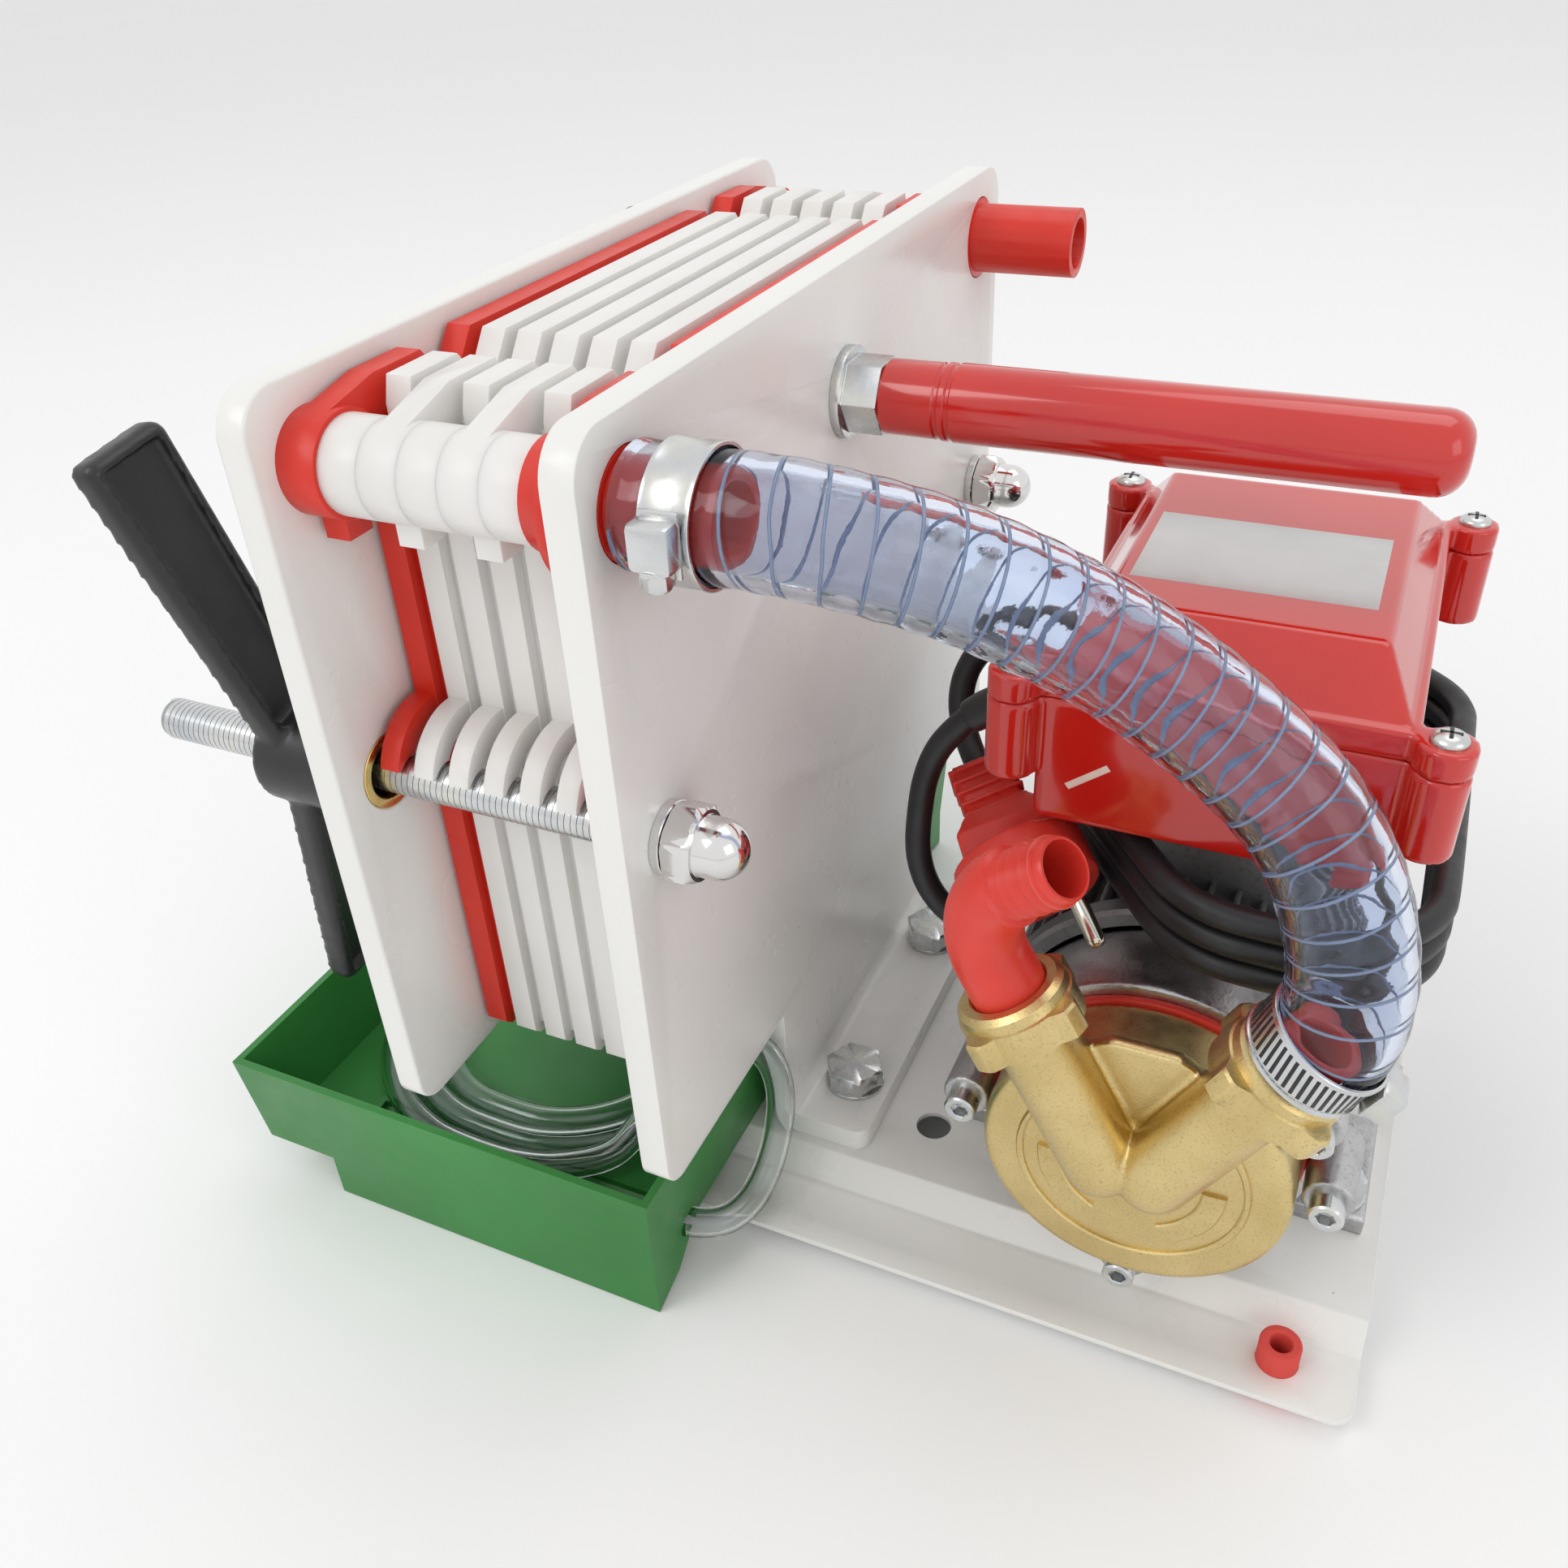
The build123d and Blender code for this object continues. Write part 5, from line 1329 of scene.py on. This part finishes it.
@dataclass
class PumpHead:
    """Brass pump end: head, casing, gasket, screws, union rings and the suction elbow."""

    axis_x: float = 92.0
    axis_z: float = 72.0
    face_y: float = -84.0
    voxel: float = 0.0008
    screw_radius: float = 4.4
    screw_height: float = 6.0
    screw_circle: float = 47.5
    screw_seat_y: float = -74.5
    screw_angles: tuple[float, ...] = (-90, 0, 30, 150, 180)
    ring_radius: float = 14.7
    lug_turns: tuple[float, float] = (70.0, 45.0)
    elbow_corners: tuple = ((62.8, -92.0, 125.6), (47.0, -92.0, 154.5), (71.9, -99.3, 176.6))
    elbow_bend: float = 22.0
    elbow_radius: float = 9.4
    elbow_bore: float = 6.5
    barb_pitch: float = 3.3
    barb_length: float = 16.0
    ports: PumpPorts = field(default_factory=PumpPorts)

    def build(self) -> None:
        """Builds the pump end."""
        softened_copy("pump_head", Paint.CAST_BRASS, self.voxel, 3)
        softened_copy("pump_casing", Paint.CAST_ALUMINIUM, self.voxel, 2)
        rounded_copy("pump_gasket", Paint.RED_SEMI, 0.0004)
        self.relief()
        self.screws()
        for side, node in ((-1, "union_ring_left"), (1, "union_ring_right")):
            self.union(side, node)
        self.elbow()
        rounded_copy("delivery_tail", Paint.RED_SEMI, 0.0004)

    def front(self, x: float = 0.0, z: float = 0.0) -> Matrix:
        """Placement on the head's face, with Z out of the face and X to the right."""
        return frame_at(metres(self.axis_x + x, self.face_y, self.axis_z + z), Vector((0, -1, 0)),
                        Vector((1, 0, 0)))

    def relief(self) -> None:
        """Raised ring and two raised pads on the head's face."""
        ring = [(-0.4, 30.4), (0.5, 30.2), (0.9, 29.8), (0.9, 28.9), (0.5, 28.4), (-0.4, 28.2), (-0.4, 30.4)]
        parts = [placed(turned(ring, 96), self.front(), "raised_ring")]
        hub = [(-0.4, 13.6), (0.6, 13.4), (1.1, 12.8), (1.3, 0.4)]
        parts.append(placed(turned(hub, 64), self.front(), "hub"))
        for middle in (-150, -30):
            parts.append(self.pad(math.radians(middle), math.radians(33), 18.0, 24.6))
        piece = new_object("pump_head_relief", joined(parts, "relief"), Paint.CAST_BRASS)
        attach(piece, Paint.CAST_BRASS, body="root")

    def pad(self, middle: float, half: float, inner: float, outer: float) -> bpy.types.Mesh:
        """Raised pad that follows a ring.

        Args:
            middle: Angle of its middle.
            half: Half of its reach.
            inner: Inner radius in millimetres.
            outer: Outer radius in millimetres.

        Returns:
            The mesh.
        """
        work = bmesh.new()
        levels = ((-0.4, 0.0), (0.5, 0.15), (0.9, 0.6))
        steps = 14
        rings = []
        for height, inset in levels:
            corners = []
            for i in range(steps + 1):
                angle = middle - half + 2 * half * i / steps
                corners.append(((outer - inset) * math.cos(angle), (outer - inset) * math.sin(angle)))
            for i in range(steps + 1):
                angle = middle + half - 2 * half * i / steps
                corners.append(((inner + inset) * math.cos(angle), (inner + inset) * math.sin(angle)))
            rings.append([work.verts.new(metres(x, y, height)) for x, y in corners])
        for low, high in zip(rings, rings[1:]):
            for i in range(len(low)):
                j = (i + 1) % len(low)
                work.faces.new((low[i], low[j], high[j], high[i]))
        for ring in (rings[0], rings[-1]):
            for i in range(steps):
                work.faces.new((ring[i], ring[i + 1], ring[-2 - i], ring[-1 - i]))
        return placed(work, self.front(), "pad")

    def screws(self) -> None:
        """Socket-head screws on their rings, one in each ear of the casing."""
        socket = hexagonal(4.2)
        radius = self.screw_radius
        sections = [(0, radius), (self.screw_height - 0.5, radius), (self.screw_height, radius - 0.5),
                    (self.screw_height, 2.6), (self.screw_height - 0.3, socket), (2.6, socket), (2.2, 0.2)]
        shape = placed(turned(sections, 36), Matrix.Rotation(math.radians(90), 4, "X"), "socket_screw")
        seats = []
        for angle in self.screw_angles:
            turn = math.radians(angle)
            across, up = self.screw_circle * math.cos(turn), self.screw_circle * math.sin(turn)
            seats.append(metres(self.axis_x + across, self.screw_seat_y, self.axis_z + up))
        mesh = repeated(places_tree(), shape, Paint.ZINC, Matrix(), points_mesh(seats))
        attach(new_object("pump_screws_dressed", mesh, Paint.ZINC), Paint.ZINC, "pump_screws")

    def union(self, side: int, node: str) -> None:
        """Builds a union ring with its lugs.

        Args:
            side: -1 for the left and 1 for the right port.
            node: CAD node that it stands for.
        """
        first = math.radians(self.lug_turns[0 if side < 0 else 1])
        body = self.ring_radius

        def lugged(grown: float) -> Callable[[float], float]:
            """Outline with four lugs, as a radius by angle."""
            def radius(angle: float) -> float:
                """Radius at an angle."""
                away = (angle - first + math.pi / 4) % (math.pi / 2) - math.pi / 4
                width = 4.4 / body
                share = max(0.0, 1.0 - abs(away) / width)
                return body + grown * min(1.0, 1.7 * share)
            return radius

        tall = lugged(3.1)
        low = lugged(2.5)
        bore = (10.4, 9.6)
        sections = [(57.0, bore[0]), (57.0, low), (57.5, tall), (64.2, tall), (64.9, low),
                    (65.2, body - 0.6), (67.6, body - 0.9), (68.9, body - 2.3), (69.0, bore[1] + 0.6),
                    (68.5, bore[1]), (61.2, bore[1]), (61.0, bore[0]), (57.0, bore[0])]
        place = self.ports.place(side, 0.0, Vector((0, 1, 0)))
        piece = new_object(node + "_dressed", placed(turned(sections, 120), place, node), Paint.CAST_BRASS)
        attach(piece, Paint.CAST_BRASS, node)

    def elbow(self) -> None:
        """Suction elbow that ends in a barbed hose tail."""
        start, corner, mouth = (metres(*point) for point in self.elbow_corners)
        arc = arc_at(corner, start, mouth, self.elbow_bend * MM, 20)
        line = dense([start, *arc, mouth], 0.0006)
        total = length_of(line)
        barbs = self.barb_length * MM

        def outer(distance: float, angle: float) -> float:
            """Outer radius: smooth body, then barbs that rise away from the mouth."""
            left = total - distance
            if left > barbs + 0.0006:
                return self.elbow_radius * MM
            if left > barbs:
                return (self.elbow_radius - 0.5 + 0.5 * (left - barbs) / 0.0006) * MM
            wave = (left % (self.barb_pitch * MM)) / (self.barb_pitch * MM)
            if left < self.barb_pitch * MM * 0.9:
                return (7.1 + 0.5 * min(1.0, left / 0.0008)) * MM
            return (7.25 + 1.13 * wave) * MM

        mesh = piped(line, outer, self.elbow_bore * MM, "suction_elbow_mesh", 40)
        piece = new_object("suction_elbow_dressed", mesh, Paint.RED_SEMI, Smooth.BY_ANGLE, 28.0)
        attach(piece, Paint.RED_SEMI, "suction_elbow")


@dataclass
class Motor:
    """Motor with its fins, fan cover, feet and flange."""

    axis_x: float = 92.0
    axis_z: float = 72.0
    front: float = -38.0
    back: float = 78.0
    core: float = 46.4
    crest: float = 50.0
    fin: float = 1.7
    fin_count: int = 44
    fan_radius: float = 44.0
    fan_back: float = 100.0
    foot_nut: float = 13.0
    foot_washer: float = 7.8
    voxel: float = 0.0007

    def build(self) -> None:
        """Builds the motor."""
        self.body()
        self.fan_cover()
        softened_copy("motor_feet", Paint.CAST_ALUMINIUM, self.voxel, 2)
        self.foot_nuts()

    def along(self, y: float) -> Matrix:
        """Placement on the motor's axis, with Z towards the back and X to the right."""
        return frame_at(metres(self.axis_x, y, self.axis_z), Vector((0, 1, 0)), Vector((1, 0, 0)))

    def body(self) -> None:
        """Core with cooling fins, end shields and the neck under the terminal box."""
        length = self.back - self.front
        core = [(0, self.core - 1.5), (0.8, self.core), (length - 0.8, self.core), (length, self.core - 1.5)]
        parts = [placed(turned(core, 96), self.along(self.front), "core")]
        for start, end in ((0.0, 7.0), (length - 9.0, length)):
            shield = [(start, self.crest - 1.4), (start + 1.0, self.crest - 0.2),
                      (end - 1.0, self.crest - 0.2), (end, self.crest - 1.4)]
            parts.append(placed(turned(shield, 96), self.along(self.front), "shield"))
        rib = block((self.crest - self.core + 1.0, self.fin, length - 14.0), (0, 0, 0), "fin", 0.5)
        middle = (self.core + self.crest - 1.2) / 2
        place = self.along((self.front + self.back) / 2 - 1.0)
        parts.append(repeated(row_tree(), rib, Paint.MOTOR_GREY, place, Count=self.fin_count,
                              Radius=middle * MM, First_Angle=0.07, Angle_Step=2 * math.pi / self.fin_count,
                              Step=(0, 0, 0)))
        parts.append(block((52, 64, 40), (92, 11.5, 130), "neck", 2.5))
        parts.append(block((66, 96, 2.6), (92, 11.5, 150.7), "saddle", 0.9))
        piece = new_object("motor_body_dressed", joined(parts, "motor"), Paint.MOTOR_GREY)
        attach(piece, Paint.MOTOR_GREY, "motor_body")

    def fan_cover(self) -> None:
        """Fan cover with a round grille of bars at the back."""
        depth = self.fan_back - self.back
        radius = self.fan_radius
        shell = [(0, radius - 1.6), (0, radius), (depth - 3.0, radius), (depth - 0.9, radius - 0.9),
                 (depth, radius - 3.0), (depth, radius - 7.0), (depth - 1.6, radius - 7.0),
                 (depth - 1.8, radius - 4.0), (depth - 3.4, radius - 2.0), (0, radius - 1.6)]
        parts = [placed(turned(shell, 96), self.along(self.back), "shell")]
        for outer in (30.5, 23.0, 15.5):
            inner, low, high = outer - 1.4, depth - 1.8, depth - 0.3
            ring = [(low, inner), (low, outer), (high, outer), (high, inner), (low, inner)]
            parts.append(placed(turned(ring, 72), self.along(self.back), "grille_ring"))
        parts.append(placed(turned([(depth - 2.2, 8.6), (depth - 0.6, 8.6), (depth - 0.2, 8.2)], 48),
                            self.along(self.back), "boss"))
        bar = block((31.4, 1.6, 1.5), (0, 0, 0), "bar", 0.3)
        parts.append(repeated(row_tree(), bar, Paint.BLACK_NYLON, self.along(self.fan_back - 1.1),
                              Count=24, Radius=22.9 * MM, First_Angle=0.0, Angle_Step=math.pi / 12,
                              Step=(0, 0, 0)))
        parts.append(placed(turned([(0.2, radius - 2.2), (1.2, radius - 2.2), (1.4, 1.0)], 72),
                            self.along(self.back), "back_wall"))
        piece = new_object("motor_fan_cover_dressed", joined(parts, "fan_cover"), Paint.BLACK_NYLON)
        attach(piece, Paint.BLACK_NYLON, "motor_fan_cover")

    def foot_nuts(self) -> None:
        """Nuts on their washers over the studs of the feet."""
        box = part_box("motor_foot_nuts")
        low, high = box[0][2] / MM, box[1][2] / MM
        middle_y = (box[0][1] + box[1][1]) / 2
        washer = self.foot_washer
        nut = nut_on_washer(high - low, self.foot_nut, washer)
        spots = [Vector((x, middle_y, low * MM)) for x in (box[0][0] + washer * MM, box[1][0] - washer * MM)]
        mesh = repeated(places_tree(), nut, Paint.ZINC, Matrix(), points_mesh(spots))
        attach(new_object("motor_foot_nuts_dressed", mesh, Paint.ZINC), Paint.ZINC, "motor_foot_nuts")


def nut_on_washer(height: float, flats: float, washer: float, bolt: bool = False) -> bpy.types.Mesh:
    """Hexagon nut or bolt head on a washer, with its chamfers.

    Args:
        height: Height of the stack in millimetres.
        flats: Width across the flats in millimetres.
        washer: Radius of the washer in millimetres.
        bolt: Whether it is a bolt head, with a flat top instead of a stud.

    Returns:
        The mesh, upright on its zero.
    """
    corner = flats / 2 / math.cos(math.pi / 6)
    edge = flats / 2 * 0.97
    top = [(height, 1.0)] if bolt else [(height - 1.2, edge - 1.5), (height - 1.2, flats * 0.30),
                                        (height - 0.3, flats * 0.29), (height, flats * 0.26)]
    sections = [(0, washer - 0.15), (0.15, washer), (1.35, washer), (1.5, washer - 0.15),
                (1.5, hexagonal(flats)), (height - (1.9 if not bolt else 0.7), hexagonal(flats, corner)),
                (height - (1.2 if not bolt else 0.0), hexagonal(flats, edge)), *top]
    return placed(turned(sections, 72), Matrix(), "nut")


@dataclass
class TieRods:
    """Threaded tie rods with their cap nuts, wing nuts, bushings and the carry handle."""

    ys: tuple[float, float] = (-112.5, 112.5)
    z: float = 170.5
    start: float = -171.0
    end: float = -4.0
    core: float = 5.1
    depth: float = 0.9
    pitch: float = 1.75
    nut_face: float = -18.0
    grip: float = 10.0
    grip_z: float = 239.0
    grip_start: float = -6.0
    grip_end: float = 134.0
    voxel: float = 0.0009

    def build(self) -> None:
        """Builds both rods and what sits on them."""
        for y, side in zip(self.ys, ("near", "far")):
            self.rod(y, "tie_rod_" + side)
            self.cap_nut(y, "cap_nut_" + side)
            softened_copy("wing_nut_" + side, Paint.BLACK_NYLON, self.voxel, 2)
        rounded_copy("guide_bushings", Paint.TURNED_BRASS, 0.0003)
        self.handle()

    def at(self, x: float, y: float, z: float) -> Matrix:
        """Placement with Z along +X and X upwards, at a point in millimetres."""
        return frame_at(metres(x, y, z), Vector((1, 0, 0)), Vector((0, 0, 1)))

    def rod(self, y: float, node: str) -> None:
        """Rod with a wound thread and chamfered ends.

        Args:
            y: Its place across the press in millimetres.
            node: CAD node that it stands for.
        """
        length = self.end - self.start
        core = [(0, self.core - 0.9), (0.9, self.core), (length - 0.9, self.core), (length, self.core - 0.9)]
        place = self.at(self.start, y, self.z)
        parts = [placed(turned(core, 32), place, "core")]
        ridge = thread_tree().grow(Paint.ZINC, {
            "Length": (length - 3.4) * MM, "Pitch": self.pitch * MM, "Root Radius": (self.core - 0.02) * MM,
            "Depth": self.depth * MM})
        ridge.transform(place @ Matrix.Translation(metres(0, 0, 1.7)))
        parts.append(ridge)
        attach(new_object(node + "_dressed", joined(parts, node), Paint.ZINC, angle=50.0), Paint.ZINC, node)

    def cap_nut(self, y: float, node: str) -> None:
        """Domed cap nut on its washer.

        Args:
            y: Its place across the press in millimetres.
            node: CAD node that it stands for.
        """
        washer = [(0, 9.0), (0.2, 9.2), (2.2, 9.2), (2.4, 9.0)]
        nut = [(2.5, 8.6), (2.9, hexagonal(18.0, 9.4)), (3.4, hexagonal(18.0)), (8.6, hexagonal(18.0)),
               (9.4, hexagonal(18.0, 9.3)), (10.0, 8.6), (10.0, 7.6), (10.4, 7.4), (13.5, 7.4)]
        angles = [math.radians(a) for a in range(9, 88, 9)]
        dome = [(13.5 + 7.4 * math.sin(angle), 7.4 * math.cos(angle)) for angle in angles]
        place = self.at(self.nut_face, y, self.z)
        parts = [placed(turned(washer, 64), place, "washer"),
                 placed(turned([*nut, *dome], 72), place, "nut")]
        piece = new_object(node + "_dressed", joined(parts, node), Paint.POLISHED)
        attach(piece, Paint.POLISHED, node)

    def handle(self) -> None:
        """Straight grip with rings near its nut."""
        length = self.grip_end - self.grip_start
        rounding = 7.0
        profile = [(0, 9.0), (0.6, 9.6), (14.5, 9.7), (15.0, 9.3), (15.8, 9.3), (16.3, 9.9), (17.6, 9.9),
                   (18.1, 9.4), (18.9, 9.4), (19.4, 10.0), (length - rounding, 10.0)]
        profile += [(length - rounding + rounding * math.sin(math.radians(a)),
                     self.grip - rounding + rounding * math.cos(math.radians(a))) for a in range(12, 91, 13)]
        place = self.at(self.grip_start, 0.0, self.grip_z)
        mesh = placed(turned(profile, 64), place, "grip")
        piece = new_object("handle_grip_dressed", mesh, Paint.RED_GLOSS)
        attach(piece, Paint.RED_GLOSS, "handle_grip")
        rounded_copy("handle_fixing", Paint.ZINC, 0.0005)


@dataclass
class FilterPlates:
    """Filter plates with drainage ribs in the hollows on both of their faces."""

    pitch: float = 10.2
    low: float = 84.5
    high: float = 250.0
    rib: tuple[float, float, float] = (1.9, 1.5, 156.0)
    rib_pitch: float = 8.0
    rib_count: int = 21
    rib_offset: float = 2.7

    def build(self) -> None:
        """Builds every plate."""
        names = ["fixed_red_plate", *(f"white_plate_{number}" for number in range(1, 6)), "moving_red_plate"]
        for node in names:
            paint = Paint.RED_MATT if "red" in node else Paint.MILKY
            piece = rounded_copy(node, paint, 0.0005)
            ribs = self.ribs(node, paint)
            owner = new_object(node + "_ribs", ribs, paint)
            attach(owner, paint, body=frame["nodes"][node]["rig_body"])
            log.info("%s has %d faces of ribs", piece.name, len(ribs.polygons))

    def ribs(self, node: str, paint: Paint) -> bpy.types.Mesh:
        """Upright ribs in the hollow behind and in front of a plate's panel.

        Args:
            node: CAD node of the plate.
            paint: Finish of the ribs.

        Returns:
            The mesh.
        """
        plates = self.panel_faces(node)
        shape = block(self.rib, (0, 0, 0), "rib", 0.5)
        first = -self.rib_pitch * (self.rib_count - 1) / 2
        height = (self.low + self.high) / 2
        rows = [repeated(row_tree(), shape, paint, Matrix.Translation(metres(x, first, height)),
                         Count=self.rib_count, Radius=0.0, First_Angle=0.0, Angle_Step=0.0,
                         Step=metres(0, self.rib_pitch, 0)) for x in plates]
        return joined(rows, node + "_ribs")

    def panel_faces(self, node: str) -> list[float]:
        """Where the ribs' centres lie along the press, in millimetres."""
        low, high = (corner[0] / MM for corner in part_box(node))
        if node.startswith("white"):
            middle = (low + high) / 2
            return [middle - self.rib_offset, middle + self.rib_offset]
        return [low + self.pitch / 2 - self.rib_offset]


@dataclass
class TerminalBox:
    """Red box on the motor with its lid, bare label, screws and cable gland."""

    top: float = 206.0
    label: tuple[float, float, float] = (58.0, 41.0, 0.35)
    label_centre: tuple[float, float] = (92.5, 4.5)
    screw_centre: tuple[float, float, float] = (93.0, 11.5, 194.0)
    screw_reach: tuple[float, float] = (48.0, 60.5)
    voxel: float = 0.0009

    def build(self) -> None:
        """Builds the box."""
        softened_copy("terminal_box", Paint.RED_GLOSS, self.voxel, 2)
        softened_copy("terminal_box_lid", Paint.RED_GLOSS, self.voxel, 2)
        rounded_copy("cable_gland", Paint.BLACK_NYLON, 0.0004)
        mesh = block(self.label, (*self.label_centre, self.top - 0.1), "label", 0.15)
        attach(new_object("bare_label_plate", mesh, Paint.BARE_LABEL), Paint.BARE_LABEL, body="root")
        self.dash()
        self.lid_screws()

    def dash(self) -> None:
        """Short pale streak painted on the front of the box as a highlight on its gloss red."""
        start, end = Vector((59.6, 162.7)), Vector((69.5, 170.3))
        middle, run = (start + end) / 2, end - start
        place = Matrix.Translation(metres(middle.x, -48.95, middle.y)) @ Matrix.Rotation(
            -math.atan2(run.y, run.x), 4, "Y")
        mesh = block((run.length, 0.3, 1.9), (0, 0, 0), "dash", 0.1, place)
        attach(new_object("box_mark", mesh, Paint.CREAM), Paint.CREAM, body="root")

    def lid_screws(self) -> None:
        """Cross-head screws in the lid's corners, with black crosses on their heads painted as the shade in
        their recesses.
        """
        head = placed(turned([(0, 4.1), (0.4, 4.2), (1.2, 3.9), (1.9, 3.0), (2.3, 1.8), (2.4, 0.3)], 32),
                      Matrix(), "head")
        # Black crosses painted as shade: they stand for the dark cross recesses, which are not cut into the
        # heads.
        slot = block((4.6, 0.9, 0.5), (0, 0, 2.18), "slot", 0.1)
        other = block((0.9, 4.6, 0.5), (0, 0, 2.18), "slot", 0.1)
        (x, y, z), (reach_x, reach_y) = self.screw_centre, self.screw_reach
        seats = [metres(x + sx * reach_x, y + sy * reach_y, z) for sx in (-1, 1) for sy in (-1, 1)]
        heads = repeated(places_tree(), head, Paint.ZINC, Matrix(), points_mesh(seats))
        attach(new_object("lid_screws_dressed", heads, Paint.ZINC), Paint.ZINC, "lid_screws")
        cross = repeated(places_tree(), joined([slot, other], "cross"), Paint.BLACK_NYLON, Matrix(),
                         points_mesh(seats))
        attach(new_object("lid_screw_slots", cross, Paint.BLACK_NYLON), Paint.BLACK_NYLON, body="root")


@dataclass
class BaseAndTray:
    """Folded base, end plates, foot bolts, rubber feet and the drip tray."""

    bolt_x: float = -4.0
    bolt_y: float = 38.0
    bolt_z: float = 24.0
    bolt_height: float = 7.9

    def build(self) -> None:
        """Builds the base and what it carries."""
        for node in ("fixed_end_plate", "moving_end_plate", "base_plate"):
            rounded_copy(node, Paint.WHITE_PAINT, 0.0011, 3)
        rounded_copy("rubber_feet", Paint.RED_RUBBER, 0.0007, 3)
        rounded_copy("drip_tray", Paint.GREEN, 0.0007, 3)
        shape = nut_on_washer(self.bolt_height, 17.0, 9.6, bolt=True)
        seats = [metres(self.bolt_x, side * self.bolt_y, self.bolt_z) for side in (-1, 1)]
        mesh = repeated(places_tree(), shape, Paint.ZINC, Matrix(), points_mesh(seats))
        attach(new_object("foot_bolts_dressed", mesh, Paint.ZINC), Paint.ZINC, "foot_bolts")


@dataclass
class MainsPlug:
    """Round-faced plug with ribs on its grip and two pins."""

    face: tuple[float, float, float] = (54.6, -52.0, 128.4)
    direction: tuple[float, float, float] = (0.61, -0.68, -0.41)
    twist: float = 19.0
    pin_radius: float = 2.4
    pin_length: float = 19.0
    pin_spacing: float = 19.0
    rib_count: int = 5
    voxel: float = 0.0006
    rib_pitch: float = 3.4

    def build(self) -> None:
        """Builds the plug and its pins."""
        softened_copy("mains_plug", Paint.RED_SEMI, self.voxel, 4)
        place = self.place()
        radius = self.pin_radius
        profile = [(0, radius), (self.pin_length - 1.6, radius), (self.pin_length - 0.7, radius - 0.5),
                   (self.pin_length - 0.2, radius - 1.2), (self.pin_length, 0.3)]
        shifts = [metres(side * self.pin_spacing / 2, 0, 0) for side in (-1, 1)]
        pins = [placed(turned(profile, 28), place @ Matrix.Translation(shift), "pin") for shift in shifts]
        piece = new_object("plug_pins_dressed", joined(pins, "pins"), Paint.NICKEL)
        attach(piece, Paint.NICKEL, "plug_pins")
        rib = block((17.6, 14.4, 1.0), (0, 0, 0), "rib", 0.4)
        ribs = repeated(row_tree(), rib, Paint.RED_SEMI, place @ Matrix.Translation(metres(0, 0, -26.0)),
                        Count=self.rib_count, Radius=0.0, First_Angle=0.0, Angle_Step=0.0,
                        Step=metres(0, 0, -self.rib_pitch))
        attach(new_object("plug_ribs", ribs, Paint.RED_SEMI), Paint.RED_SEMI, body="root")

    def place(self) -> Matrix:
        """Placement on the plug's face, with X along the row of pins."""
        ahead = Vector(self.direction).normalized()
        level = Vector((-ahead.y, ahead.x, 0)).normalized()
        row = Matrix.Rotation(math.radians(self.twist), 3, ahead) @ level
        return frame_at(metres(*self.face), ahead, row)


def main() -> None:
    """Builds the studio and every piece in order."""
    logging.basicConfig(level=logging.INFO, format="%(name)s %(message)s")
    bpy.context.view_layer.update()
    bpy.context.scene.view_settings.view_transform = "Standard"
    Studio().build()
    for part in (BaseAndTray(), FilterPlates(), TieRods(), Motor(), PumpHead(), FeedHose(), TerminalBox(),
                 MainsPlug(), PowerCord(), DrainTube()):
        part.build()


if __name__ == "__main__":
    main()
